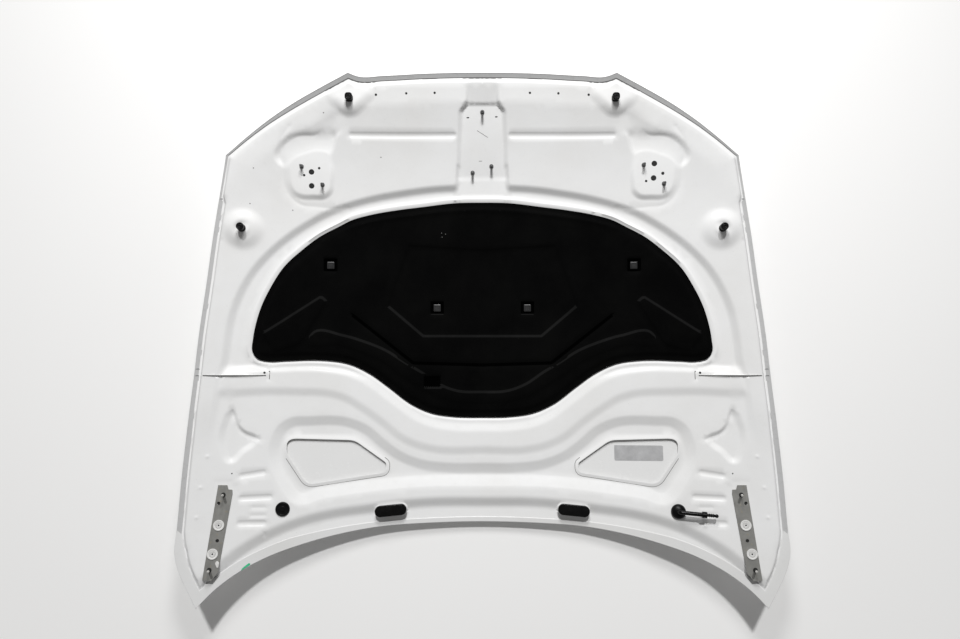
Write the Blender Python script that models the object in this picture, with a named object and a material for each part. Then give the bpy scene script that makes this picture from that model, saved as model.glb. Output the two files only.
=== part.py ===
"""A car's front bonnet, lying on its outer skin with its underside up.

Metres, +Z up, +Y towards the front edge. The outer skin is hemmed over a pressed inner
panel, which carries the insulation liner, buffers, latch studs, hinge plates and washer parts.
Tables of places are shares: x of HALF_WIDTH, y of HALF_LENGTH, for the side of positive x.
"""
import math

import bpy
import numpy as np
from mathutils import Matrix, Vector
from mathutils.geometry import delaunay_2d_cdt

# Overall size
HALF_WIDTH = 0.755
HALF_LENGTH = 0.674

SIDES = (("right", 1), ("left", -1))

# Crown of the outer skin, as the radii of its curves and where the tighter ones begin
CROWN_RADIUS_REAR = 6.0
CROWN_RADIUS_FRONT = 4.5
CROWN_RADIUS_ACROSS = 4.2
NOSE_CURL_RADIUS = 1.3
NOSE_CURL_START_SHARE = 0.445
SIDE_ROLL_RADIUS = 1.43
SIDE_ROLL_START_SHARE = 0.69
REST_FLAT_DEPTH = 0.0006
REST_FLAT_RADIUS = 0.060

# Sheets, hem and seats
SKIN_SHEET = 0.001
PANEL_SHEET = 0.001
SEAT_GAP = 0.0003
HEM_WIDTH = 0.014
REAR_HEM_WIDTH = 0.024
HEM_CHANGE_START_SHARE = -0.69
HEM_CHANGE_END_SHARE = -0.78
HEM_NOSE = 0.0009
HEM_CLEARANCE = 0.0003

# Pressed levels of the inner panel's top face, above the outer face of the skin
PLATEAU_LEVEL = 0.020
FRONT_STRIP_DROP = 0.007
REAR_LEVEL = 0.015
VALLEY_LEVEL = 0.010
RIM_LEVEL = 0.015
TRAY_LEVEL = 0.0105
TRAY_HOLLOW_LEVEL = 0.0075
TROUGH_LEVEL = 0.006
OPENING_LIP_LEVEL = 0.0082
CORNER_POCKET_LEVEL = 0.009
CENTRE_PAD_LEVEL = 0.0125
SIDE_PAD_LEVEL = 0.024
SIDE_DIP_LEVEL = 0.012
PAD_LEAN_SHARE = 0.8
PAD_PITCH = 0.03
BUFFER_LEAN_SHARE = 0.3
BUFFER_PITCH = 0.08
FRONT_BOSS_LEVEL = 0.022
SIDE_BOSS_HEIGHT = 0.010
BEAD_DEPTH = 0.003
HINGE_PAD_LEVEL = 0.0155

# Widths of the pressed walls, in plan
EDGE_WALL = 0.011
EDGE_WALL_OFFSET = 0.008
FRONT_STRIP_WIDTH = 0.047
RING_WALL = 0.015
RIM_WALL = 0.008
RIM_MARGIN = 0.013
TRAY_WALL = 0.004
TRAY_MARGIN = 0.004
TRAY_LEDGE = 0.034
TRAY_HOLLOW_WALL = 0.012
CROSSMEMBER_FRONT_WALL = 0.026
CROSSMEMBER_REAR_WALL = 0.017
TROUGH_FRONT_WALL = 0.018
TROUGH_REAR_WALL = 0.026
REAR_WALL = 0.018
PAD_WALL = 0.012
DIP_REACH = 0.040
BOSS_WALL = 0.016
BEAD_WALL = 0.006
OPENING_LIP_MARGIN = 0.007
OPENING_LIP_WALL = 0.008
POCKET_WALL = 0.018
LEVEL_CHANGE_START_SHARE = -0.24
LEVEL_CHANGE_END_SHARE = -0.44
VALLEY_END_START_SHARE = -0.135
VALLEY_END_SHARE = -0.175
STRIP_FADE_START_SHARE = 0.55
STRIP_FADE_END_SHARE = 0.75

# Outline of the bonnet, from the rear centre round by the tip, side and nose to the front centre
REAR_EDGE_SHARES = [(0, -0.715), (0.192, -0.720), (0.338, -0.730), (0.515, -0.764),
                    (0.619, -0.795), (0.708, -0.829), (0.818, -0.892), (0.879, -0.944), (0.927, -1.0)]
SIDE_EDGE_SHARES = [(0.927, -1.0), (0.958, -0.932), (0.985, -0.866), (1.0, -0.80), (0.997, -0.72),
                    (0.992, -0.54), (0.981, -0.33), (0.969, -0.16), (0.958, 0.0), (0.939, 0.19),
                    (0.917, 0.40), (0.898, 0.54), (0.875, 0.683)]
DIAGONAL_EDGE_SHARES = [(0.875, 0.683), (0.805, 0.754), (0.738, 0.814), (0.659, 0.873),
                        (0.552, 0.939), (0.457, 0.992)]
FRONT_EDGE_SHARES = [(0.457, 0.992), (0.425, 0.981), (0.34, 0.985), (0.20, 0.995), (0, 1.0)]

# Pressed lines of the inner panel
REAR_WALL_SHARES = [(0, -0.640), (0.193, -0.642), (0.389, -0.664), (0.516, -0.682), (0.62, -0.710),
                    (0.703, -0.745), (0.80, -0.806), (0.90, -0.90), (1.0, -1.0)]
RING_SHARES = [(0, 0.578), (0.173, 0.572), (0.27, 0.557), (0.37, 0.536), (0.45, 0.512),
               (0.53, 0.478), (0.60, 0.434), (0.665, 0.383), (0.727, 0.322), (0.785, 0.244),
               (0.827, 0.155), (0.850, 0.078), (0.862, -0.003), (0.873, -0.12), (0.887, -0.20),
               (0.896, -0.30), (0.90, -0.42), (0.84, -0.53), (0.5, -0.55), (0, -0.55)]
LINER_SHARES = [(0, 0.523), (0.09, 0.521), (0.208, 0.505), (0.30, 0.491), (0.393, 0.471),
                (0.458, 0.449), (0.50, 0.424), (0.564, 0.384), (0.625, 0.330), (0.685, 0.264),
                (0.73, 0.181), (0.757, 0.114), (0.774, 0.049), (0.784, -0.02), (0.785, -0.064),
                (0.768, -0.092), (0.735, -0.102), (0.676, -0.100), (0.542, -0.098), (0.464, -0.111),
                (0.389, -0.150), (0.33, -0.197), (0.24, -0.271), (0.181, -0.300), (0.091, -0.316),
                (0, -0.318)]
CROSSMEMBER_FRONT_SHARES = [(0, -0.356), (0.091, -0.355), (0.174, -0.340), (0.233, -0.312),
                            (0.278, -0.276), (0.330, -0.232), (0.388, -0.184), (0.464, -0.143),
                            (0.542, -0.127), (0.709, -0.127), (0.84, -0.135)]
CROSSMEMBER_REAR_SHARES = [(0, -0.443), (0.156, -0.441), (0.223, -0.424), (0.283, -0.392),
                           (0.342, -0.339), (0.415, -0.281), (0.473, -0.243), (0.531, -0.225),
                           (0.631, -0.219), (0.737, -0.217), (0.83, -0.222)]
TROUGH_FRONT_SHARES = [(0, -0.511), (0.122, -0.510), (0.208, -0.498), (0.284, -0.466),
                       (0.342, -0.420), (0.401, -0.365), (0.453, -0.340), (0.594, -0.331),
                       (0.652, -0.336), (0.685, -0.362), (0.702, -0.405)]
TROUGH_REAR_SHARES = [(0.702, -0.405), (0.708, -0.455), (0.671, -0.555), (0.616, -0.622),
                      (0.554, -0.604), (0.448, -0.586), (0.340, -0.572), (0.231, -0.562), (0, -0.559)]
OPENING_SHARES = [(0.429, -0.411), (0.524, -0.407), (0.620, -0.403), (0.646, -0.415), (0.660, -0.438),
                  (0.659, -0.466), (0.625, -0.538), (0.600, -0.569), (0.578, -0.578), (0.460, -0.560),
                  (0.350, -0.544), (0.328, -0.532), (0.325, -0.505), (0.371, -0.456)]
CORNER_POCKET_SHARES = [(0.845, -0.298), (0.833, -0.338), (0.806, -0.372), (0.768, -0.396),
                        (0.806, -0.440), (0.845, -0.476), (0.868, -0.428), (0.866, -0.338)]
CENTRE_PAD_SHARES = [(0, 0.890), (0.056, 0.890), (0.075, 0.862), (0.081, 0.74), (0.084, 0.618),
                     (0, 0.618)]
CHANNEL_SHARES = [(0, 0.66), (0.084, 0.66), (0.091, 0.56), (0.091, 0.50), (0, 0.50)]
CENTRE_PAD_CENTRE_SHARES = (0, 0.745)
SIDE_PAD_SHARES = [(0.666, 0.608), (0.661, 0.571), (0.649, 0.548), (0.630, 0.536), (0.585, 0.533),
                   (0.542, 0.539), (0.526, 0.557), (0.521, 0.589), (0.521, 0.660), (0.530, 0.695),
                   (0.560, 0.705), (0.612, 0.692), (0.646, 0.674), (0.664, 0.650)]
SIDE_DIP_SHARES = [(0.707, 0.681), (0.699, 0.712), (0.674, 0.746), (0.643, 0.767), (0.610, 0.775),
                   (0.583, 0.776), (0.556, 0.800), (0.534, 0.835), (0.507, 0.852), (0.487, 0.848),
                   (0.490, 0.810), (0.504, 0.765), (0.517, 0.717), (0.560, 0.640), (0.670, 0.640)]
FRONT_BOSS_SHARES = [(0.517, 0.904), (0.488, 0.874), (0.463, 0.853), (0.443, 0.853), (0.420, 0.871),
                     (0.398, 0.894), (0.378, 0.925), (0.395, 0.950), (0.445, 0.958), (0.495, 0.935)]
SIDE_BOSS_CENTRE_SHARES = (0.818, 0.404)
SIDE_BOSS_RADIUS = 0.058
SIDE_BOSS_TOP_RADIUS = 0.020
SIDE_PAD_CENTRE_SHARES = (0.592, 0.615)
HINGE_PAD_CENTRE_SHARES = (0.872, -0.730)
GROOVE_SHARES = ((0.100, 0.775), (0.451, 0.770))
REAR_BEAD_SHARES = [((0.737, -0.521), (0.806, -0.532)), ((0.713, -0.612), (0.804, -0.614)),
                    ((0.729, -0.707), (0.805, -0.705))]

# Slits and holes through the panel
SLIT_START_SHARES = (0.737, -0.157)
SLIT_END_SHARES = (0.935, -0.157)
SLIT_WIDTH = 0.0025
SLIT_HOLE_SHARES = (0.742, -0.146)
SLIT_HOLE_RADIUS = 0.003
FRONT_HOLE_SHARES = [(0.163, 0.924), (0.260, 0.921), (0.363, 0.914)]
FRONT_HOLE_RADIUS = 0.003
LATCH_HOLE_RADIUS = 0.0072
LATCH_HOLE_SHARES = {
    "right": [((0.593, 0.660), 1.0), ((0.591, 0.605), 1.0), ((0.622, 0.622), 0.58), ((0.566, 0.594), 0.45)],
    "left": [((0.589, 0.628), 1.0), ((0.589, 0.575), 1.0), ((0.614, 0.615), 0.45), ((0.563, 0.643), 0.45)]}
HINGE_END_HOLE_SHARES = (0.897, -0.914)
HINGE_END_HOLE_RADIUS = 0.0035

# Hinge plate with its discs, holes and studs
HINGE_PLATE_SHARES = [(0.875, -0.562), (0.846, -0.563), (0.842, -0.579), (0.830, -0.580),
                      (0.829, -0.595), (0.864, -0.876), (0.884, -0.904), (0.911, -0.900)]
HINGE_DISC_SHARES = [(0.868, -0.707), (0.882, -0.808)]
HINGE_HOLE_SHARES = [(0.871, -0.628), (0.870, -0.762)]
HINGE_STUD_SHARES = [(0.859, -0.598), (0.889, -0.863)]
HINGE_PLATE_SHEET = 0.0025
HINGE_PAD_MARGIN = 0.011
HINGE_HOLE_RADIUS = 0.0042
HINGE_DISC_RADIUS = 0.0130
HINGE_DISC_THICKNESS = 0.0020
HINGE_DISC_RIM = 0.003
HINGE_DISC_STEP = 0.0006
HINGE_DISC_DIMPLE = 0.0018

# Studs
STUD_RADIUS = 0.0032
STUD_COLLAR_RADIUS = 0.0055
STUD_COLLAR_THICKNESS = 0.0015
STUD_CHAMFER = 0.0010
HINGE_STUD_LENGTH = 0.026
LATCH_STUD_LENGTH = 0.021
LATCH_STUD_SHARES = {"right": [(0.557, 0.656), (0.626, 0.583)], "left": [(0.622, 0.648), (0.552, 0.580)]}
CENTRE_LATCH_STUD_SHARES = [(0.0, 0.862), (-0.034, 0.640), (0.032, 0.664)]

# Plates behind the latch pads, inside the bonnet
REINFORCEMENT_SHEET = 0.0015
SIDE_REINFORCEMENT_WIDTH = 0.076
SIDE_REINFORCEMENT_LENGTH = 0.066
REINFORCEMENT_HOLE_GROWTH = 0.002
CENTRE_REINFORCEMENT_WIDTH = 0.080
CENTRE_REINFORCEMENT_LENGTH = 0.165

# Rubber buffers
FRONT_BUFFER_SHARES = (0.452, 0.897)
FRONT_BUFFER_RADIUS = 0.0092
FRONT_BUFFER_HEIGHT = 0.018
SIDE_BUFFER_SHARES = SIDE_BOSS_CENTRE_SHARES
SIDE_BUFFER_RADIUS = 0.0098
SIDE_BUFFER_HEIGHT = 0.022
BUFFER_SEAT_RADIUS = 0.014
BUFFER_FOOT_HEIGHT = 0.004
BUFFER_WAIST = 0.0014
BUFFER_RIM = 0.0030
BUFFER_DISH = 0.0025

# Washer nozzles, plug, grommet and elbow
NOZZLE_SHARES = (0.311, -0.668)
NOZZLE_HALF_LENGTH = 0.0405
NOZZLE_HALF_WIDTH = 0.0142
NOZZLE_HEIGHT = 0.009
NOZZLE_CHAMFER = 0.002
NOZZLE_HEADING = 0.09
NOZZLE_SEAT_MARGIN = 0.002
NOZZLE_SEAT_WALL = 0.004
PLUG_SHARES = (-0.670, -0.657)
PLUG_RADIUS = 0.0180
PLUG_HEIGHT = 0.005
PLUG_RIM = 0.002
PLUG_SEAT_MARGIN = 0.003
GROMMET_SHARES = (0.658, -0.666)
GROMMET_RADIUS = 0.0185
GROMMET_HEIGHT = 0.013
GROMMET_TOP_RADIUS = 0.009
ELBOW_RADIUS = 0.0052
ELBOW_RISE = 0.008
ELBOW_LENGTH = 0.054
ELBOW_HEADING = -0.082
COUPLING_RADIUS = 0.0078
COUPLING_LENGTH = 0.012
COUPLING_TAIL_RADIUS = 0.0037
COUPLING_TAIL_LENGTH = 0.019
COUPLING_BARB = 0.0012
COUPLING_BALL_RADIUS = 0.0046
BALL_NECK_SHARE = 0.25
BALL_END_SHARE = 0.90
BALL_STEPS = 4

# Moulded insulation liner
LINER_SEAT_GAP = 0.0005
LINER_EDGE_THICKNESS = 0.0045
LINER_THICKNESS = 0.0110
LINER_RAISED_THICKNESS = 0.0145
LINER_EDGE_WIDTH = 0.016
LINER_EDGE_WALL = 0.014
LINER_PRESS_DEPTH = 0.003
LINER_WALL = 0.014
LINER_FIELD_SHARES = [(0, 0.335), (0.256, 0.352), (0.330, 0.115), (0.206, -0.003), (0, -0.003)]
LINER_BAND_SHARES = [(0, -0.262), (0.101, -0.256), (0.157, -0.237), (0.226, -0.192), (0.285, -0.152),
                     (0.347, -0.102), (0.423, -0.066), (0.491, -0.040), (0.599, -0.025),
                     (0.585, 0.005), (0.48, -0.002), (0.41, -0.025), (0.33, -0.062), (0.27, -0.105),
                     (0.21, -0.145), (0.15, -0.190), (0.09, -0.215), (0, -0.220)]
LINER_FIN_SHARES = [(0.725, 0.010), (0.645, 0.085), (0.561, 0.148), (0.530, 0.135), (0.565, 0.06),
                    (0.612, -0.015), (0.66, -0.018)]
CLIP_SHARES = [(0.527, 0.271), (0.158, 0.107)]
CLIP_RECESS = 0.030
CLIP_RECESS_WALL = 0.007
CLIP_HEAD = 0.019
CLIP_HEIGHT = 0.0045
CLIP_CHAMFER = 0.0012
CLIP_STEM_RADIUS = 0.0032
CLIP_HOLE_RADIUS = 0.0052
CLIP_STEM_LENGTH = 0.012

# Mesh spacing and roundness
EDGE_SPACING = 0.046
LINE_SPACING = 0.042
DETAIL_SPACING = 0.020
FIELD_SPACING = 0.085
SKIN_SPACING = 0.110
LINER_SPACING = 0.080
LINE_CLEARANCE_SHARE = 0.33
DENSE_STEPS = 12
HOLE_SIDES = 8
ROUND_SIDES = 16
SMALL_ROUND_SIDES = 12
MERGE_DISTANCE = 0.0008

WHITE_PAINT = ((0.80, 0.80, 0.80, 1.0), 0.35, 0.0)
PANEL_PAINT = ((0.74, 0.74, 0.74, 1.0), 0.45, 0.0)
BLACK_FELT = ((0.020, 0.020, 0.021, 1.0), 0.95, 0.0)
BLACK_RUBBER = ((0.022, 0.022, 0.023, 1.0), 0.65, 0.0)
BLACK_PLASTIC = ((0.018, 0.018, 0.019, 1.0), 0.45, 0.0)
BARE_METAL = ((0.42, 0.42, 0.40, 1.0), 0.40, 1.0)
PALE_RING = ((0.70, 0.70, 0.68, 1.0), 0.50, 0.0)
ZINC = ((0.50, 0.50, 0.48, 1.0), 0.35, 1.0)


def remove_everything():
    for existing in list(bpy.data.objects):
        bpy.data.objects.remove(existing, do_unlink=True)


def material(name, look):
    colour, roughness, metallic = look
    made = bpy.data.materials.new(name)
    made.use_nodes = True
    shader = made.node_tree.nodes["Principled BSDF"]
    shader.inputs["Base Color"].default_value = colour
    shader.inputs["Roughness"].default_value = roughness
    shader.inputs["Metallic"].default_value = metallic
    return made


# Curves in plan

def plan(share):
    return (share[0] * HALF_WIDTH, share[1] * HALF_LENGTH)


def plan_list(shares):
    return [plan(share) for share in shares]


def other_side(points):
    """The same points mirrored to the other side, in the opposite order."""
    return [(-x, y) for x, y in reversed(points)]


def both_halves(half):
    """A closed run of points from a half that starts and ends on the centre line."""
    return half + [(-x, y) for x, y in reversed(half[1:-1])]


def flowing(points, spacing, closed=False):
    """Points an even distance apart on a smooth curve through the given ones."""
    given = np.array(points, dtype=float)
    count = len(given)
    spans = count if closed else count - 1
    dense = []
    for i in range(spans):
        p1, p2 = given[i], given[(i + 1) % count]
        p0 = given[i - 1] if closed or i > 0 else 2 * p1 - p2
        p3 = given[(i + 2) % count] if closed or i + 2 < count else 2 * p2 - p1
        reach = np.linalg.norm(p2 - p1)
        m1 = tangent_at(p0, p1, p2) * reach
        m2 = tangent_at(p1, p2, p3) * reach
        for k in range(DENSE_STEPS):
            t = k / DENSE_STEPS
            dense.append((2 * t**3 - 3 * t**2 + 1) * p1 + (t**3 - 2 * t**2 + t) * m1
                         + (3 * t**2 - 2 * t**3) * p2 + (t**3 - t**2) * m2)
    dense.append(given[0] if closed else given[-1])
    return evenly_spaced(np.array(dense), spacing, closed)


def tangent_at(before, here, after):
    """Unit direction at a point, weighted to its nearer neighbour."""
    back, ahead = here - before, after - here
    back_length, ahead_length = np.linalg.norm(back), np.linalg.norm(ahead)
    direction = back / back_length * ahead_length + ahead / ahead_length * back_length
    return direction / np.linalg.norm(direction)


def evenly_spaced(dense, spacing, closed):
    steps = np.linalg.norm(np.diff(dense, axis=0), axis=1)
    run = np.concatenate([[0.0], np.cumsum(steps)])
    count = max(2, int(round(run[-1] / spacing)))
    places = np.linspace(0.0, run[-1], count + 1)
    even = np.column_stack([np.interp(places, run, dense[:, 0]), np.interp(places, run, dense[:, 1])])
    return even[:-1] if closed else even


def shifted(line, distance, closed):
    """A line moved sideways by a distance, to the left of its direction, with mitred corners."""
    line = np.asarray(line, dtype=float)
    if closed:
        ahead = np.roll(line, -1, axis=0) - line
        back = line - np.roll(line, 1, axis=0)
    else:
        ahead = np.vstack([line[1:] - line[:-1], line[-1:] - line[-2:-1]])
        back = np.vstack([ahead[:1], line[1:] - line[:-1]])
    ahead = ahead / np.linalg.norm(ahead, axis=1)[:, None]
    back = back / np.linalg.norm(back, axis=1)[:, None]
    left_ahead = np.column_stack([-ahead[:, 1], ahead[:, 0]])
    left_back = np.column_stack([-back[:, 1], back[:, 0]])
    middle = left_ahead + left_back
    middle = middle / np.linalg.norm(middle, axis=1)[:, None]
    reach = 1.0 / np.maximum((middle * left_ahead).sum(axis=1), 0.4)
    return line + middle * (np.asarray(distance) * reach)[:, None]


def distance_to(points, line, closed):
    """Distance of each point from a line of straight pieces."""
    starts = np.asarray(line, dtype=float)
    ends = np.roll(starts, -1, axis=0)
    if not closed:
        starts, ends = starts[:-1], ends[:-1]
    nearest = np.full(len(points), np.inf)
    for start, end in zip(starts, ends):
        along = end - start
        length_squared = max(float(along @ along), 1e-18)
        t = np.clip((points - start) @ along / length_squared, 0.0, 1.0)
        gap = points - (start + t[:, None] * along)
        nearest = np.minimum(nearest, np.hypot(gap[:, 0], gap[:, 1]))
    return nearest


def is_inside(points, loop):
    inside = np.zeros(len(points), dtype=bool)
    starts = np.asarray(loop, dtype=float)
    ends = np.roll(starts, -1, axis=0)
    x, y = points[:, 0], points[:, 1]
    for (x1, y1), (x2, y2) in zip(starts, ends):
        if y1 == y2:
            continue
        crosses = ((y1 > y) != (y2 > y)) & (x < (x2 - x1) * (y - y1) / (y2 - y1) + x1)
        inside ^= crosses
    return inside


def depth_in(points, loop):
    """Distance inside a closed line, negative outside it."""
    away = distance_to(points, loop, True)
    return np.where(is_inside(points, loop), away, -away)


def ramp(value):
    """Straight rise from 0 to 1."""
    return np.clip(value, 0.0, 1.0)


def ease(value):
    """Rise from 0 to 1 with flat ends."""
    t = np.clip(value, 0.0, 1.0)
    return t * t * (3 - 2 * t)


def wall(depth, width):
    """Share of a pressed level at a depth inside its line, across a wall centred on it."""
    return ramp(depth / width + 0.5)


# Outline and pressed lines

def outline_loop(spacing):
    """The bonnet's outline, the whole way round, left turns first from the left tip."""
    rear_right = plan_list(REAR_EDGE_SHARES)
    rear = other_side(rear_right)[:-1] + rear_right
    front_right = plan_list(FRONT_EDGE_SHARES)
    front = front_right + other_side(front_right)[1:]
    side = plan_list(SIDE_EDGE_SHARES)
    diagonal = plan_list(DIAGONAL_EDGE_SHARES)
    runs = [rear, side, diagonal, front, other_side(diagonal), other_side(side)]
    return np.vstack([flowing(run, spacing)[:-1] for run in runs])


def hem_widths(loop):
    change = (loop[:, 1] / HALF_LENGTH - HEM_CHANGE_START_SHARE)
    change = change / (HEM_CHANGE_END_SHARE - HEM_CHANGE_START_SHARE)
    rear = ramp(change)
    return HEM_WIDTH + (REAR_HEM_WIDTH - HEM_WIDTH) * rear


def closed_half(shares, spacing):
    return flowing(both_halves(plan_list(shares)), spacing, closed=True)


def across(shares, spacing):
    """An open line right across the bonnet, from a table that starts on the centre line."""
    right = plan_list(shares)
    return flowing(other_side(right)[:-1] + right, spacing)


def trough_loop(spacing):
    front = plan_list(TROUGH_FRONT_SHARES)
    rear = plan_list(TROUGH_REAR_SHARES)
    return flowing(both_halves(front + rear[1:]), spacing, closed=True)


def region_behind(line):
    """Closed region from an open line across the bonnet towards the rear."""
    reach = 2 * HALF_LENGTH
    far = 2 * HALF_WIDTH
    last, first = line[-1], line[0]
    return np.vstack([line, [[far, last[1]], [far, -reach], [-far, -reach], [-far, first[1]]]])


class Forms:
    """The closed lines that the pressed levels follow, sampled once at a given spacing."""

    def __init__(self, spacing, detail_spacing, edge_spacing):
        self.outline = outline_loop(edge_spacing)
        self.hem_line = shifted(self.outline, hem_widths(self.outline), True)
        self.rear_wall = across(REAR_WALL_SHARES, spacing)
        self.ring = closed_half(RING_SHARES, spacing)
        self.liner = closed_half(LINER_SHARES, spacing)
        self.crossmember_front = across(CROSSMEMBER_FRONT_SHARES, spacing)
        self.crossmember_rear = across(CROSSMEMBER_REAR_SHARES, spacing)
        self.trough = trough_loop(spacing)
        self.opening = flowing(plan_list(OPENING_SHARES), detail_spacing, closed=True)
        self.pocket = flowing(plan_list(CORNER_POCKET_SHARES), detail_spacing, closed=True)
        self.centre_pad = np.array(both_halves(plan_list(CENTRE_PAD_SHARES)))
        self.channel = np.array(both_halves(plan_list(CHANNEL_SHARES)))
        self.side_pad = flowing(plan_list(SIDE_PAD_SHARES), detail_spacing, closed=True)
        self.side_dip = flowing(plan_list(SIDE_DIP_SHARES), detail_spacing, closed=True)
        self.front_boss = flowing(plan_list(FRONT_BOSS_SHARES), detail_spacing, closed=True)
        self.band = closed_half(LINER_BAND_SHARES, spacing)
        self.field = np.array(both_halves(plan_list(LINER_FIELD_SHARES)))
        self.fin = flowing(plan_list(LINER_FIN_SHARES), detail_spacing, closed=True)


# Surfaces

def skin_height(points):
    """Height of the skin's outer face, which is the lower one here."""
    points = np.atleast_2d(points)
    x, y = np.abs(points[:, 0]), points[:, 1]
    crown_radius = np.where(y < 0, CROWN_RADIUS_REAR, CROWN_RADIUS_FRONT)
    height = y**2 / (2 * crown_radius) + x**2 / (2 * CROWN_RADIUS_ACROSS)
    nose = np.maximum(y - NOSE_CURL_START_SHARE * HALF_LENGTH, 0)
    roll = np.maximum(x - SIDE_ROLL_START_SHARE * HALF_WIDTH, 0)
    height = height + nose**2 / (2 * NOSE_CURL_RADIUS) + roll**2 / (2 * SIDE_ROLL_RADIUS)
    return np.maximum(height - REST_FLAT_DEPTH, 0)


def skin_slope(x, y):
    step = HEM_WIDTH
    around = skin_height(np.array([[x + step, y], [x - step, y], [x, y + step], [x, y - step]]))
    return (around[0] - around[1]) / (2 * step), (around[2] - around[3]) / (2 * step)


class Pad:
    """A flat seat: a plane through a level at one place, used over a region.

    A lean of 1 follows the skin's slope there and 0 is level. A pitch tips it towards the front.
    """

    def __init__(self, place, level, lean=1.0, pitch=0.0):
        self.x, self.y = place
        self.height = float(skin_height([place])[0]) + level
        slope_x, slope_y = skin_slope(*place)
        self.slope_x = slope_x * lean
        self.slope_y = slope_y * lean - pitch

    def plane(self, points):
        return (self.height + (points[:, 0] - self.x) * self.slope_x
                + (points[:, 1] - self.y) * self.slope_y)

    def normal(self):
        return Vector((-self.slope_x, -self.slope_y, 1.0)).normalized()

    def point(self, x, y):
        return Vector((x, y, float(self.plane(np.array([[x, y]]))[0])))


def side_pad():
    return Pad(plan(SIDE_PAD_CENTRE_SHARES), SIDE_PAD_LEVEL, PAD_LEAN_SHARE, PAD_PITCH)


def centre_pad():
    return Pad(plan(CENTRE_PAD_CENTRE_SHARES), CENTRE_PAD_LEVEL)


def hinge_pad():
    return Pad(plan(HINGE_PAD_CENTRE_SHARES), HINGE_PAD_LEVEL)


def front_buffer_pad():
    return Pad(plan(FRONT_BUFFER_SHARES), FRONT_BOSS_LEVEL, BUFFER_LEAN_SHARE, BUFFER_PITCH)


def side_buffer_pad():
    level = PLATEAU_LEVEL + SIDE_BOSS_HEIGHT
    return Pad(plan(SIDE_BUFFER_SHARES), level, BUFFER_LEAN_SHARE, BUFFER_PITCH)


def seats():
    """Small flat seats on the right side, each a pad and its radius."""
    grommet = Pad(plan(GROMMET_SHARES), REAR_LEVEL)
    return [(side_buffer_pad(), BUFFER_SEAT_RADIUS), (grommet, GROMMET_RADIUS + PLUG_SEAT_MARGIN)]


def nozzle_axis(inset):
    """The middle line of the right nozzle, shorter by an inset at both ends."""
    centre = np.array(plan(NOZZLE_SHARES))
    along = np.array([math.cos(NOZZLE_HEADING), -math.sin(NOZZLE_HEADING)])
    half = NOZZLE_HALF_LENGTH - inset
    return np.array([centre - along * half, centre + along * half])


def with_nozzle_seat(height, folded):
    """Height with a flat oval boss under each nozzle, which stands across the rear wall."""
    inset = NOZZLE_HALF_WIDTH
    away = distance_to(folded, nozzle_axis(inset), False)
    share = ramp(1 - (away - NOZZLE_HALF_WIDTH + NOZZLE_SEAT_MARGIN) / NOZZLE_SEAT_WALL)
    return mixed(height, Pad(plan(NOZZLE_SHARES), REAR_LEVEL).plane(folded), share)


def bead_depth(points, start, end):
    """Share of a bead's depth at each point, full along the line between its ends."""
    line = np.array([start, end])
    return ramp(1.5 - distance_to(points, line, False) / BEAD_WALL)


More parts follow.
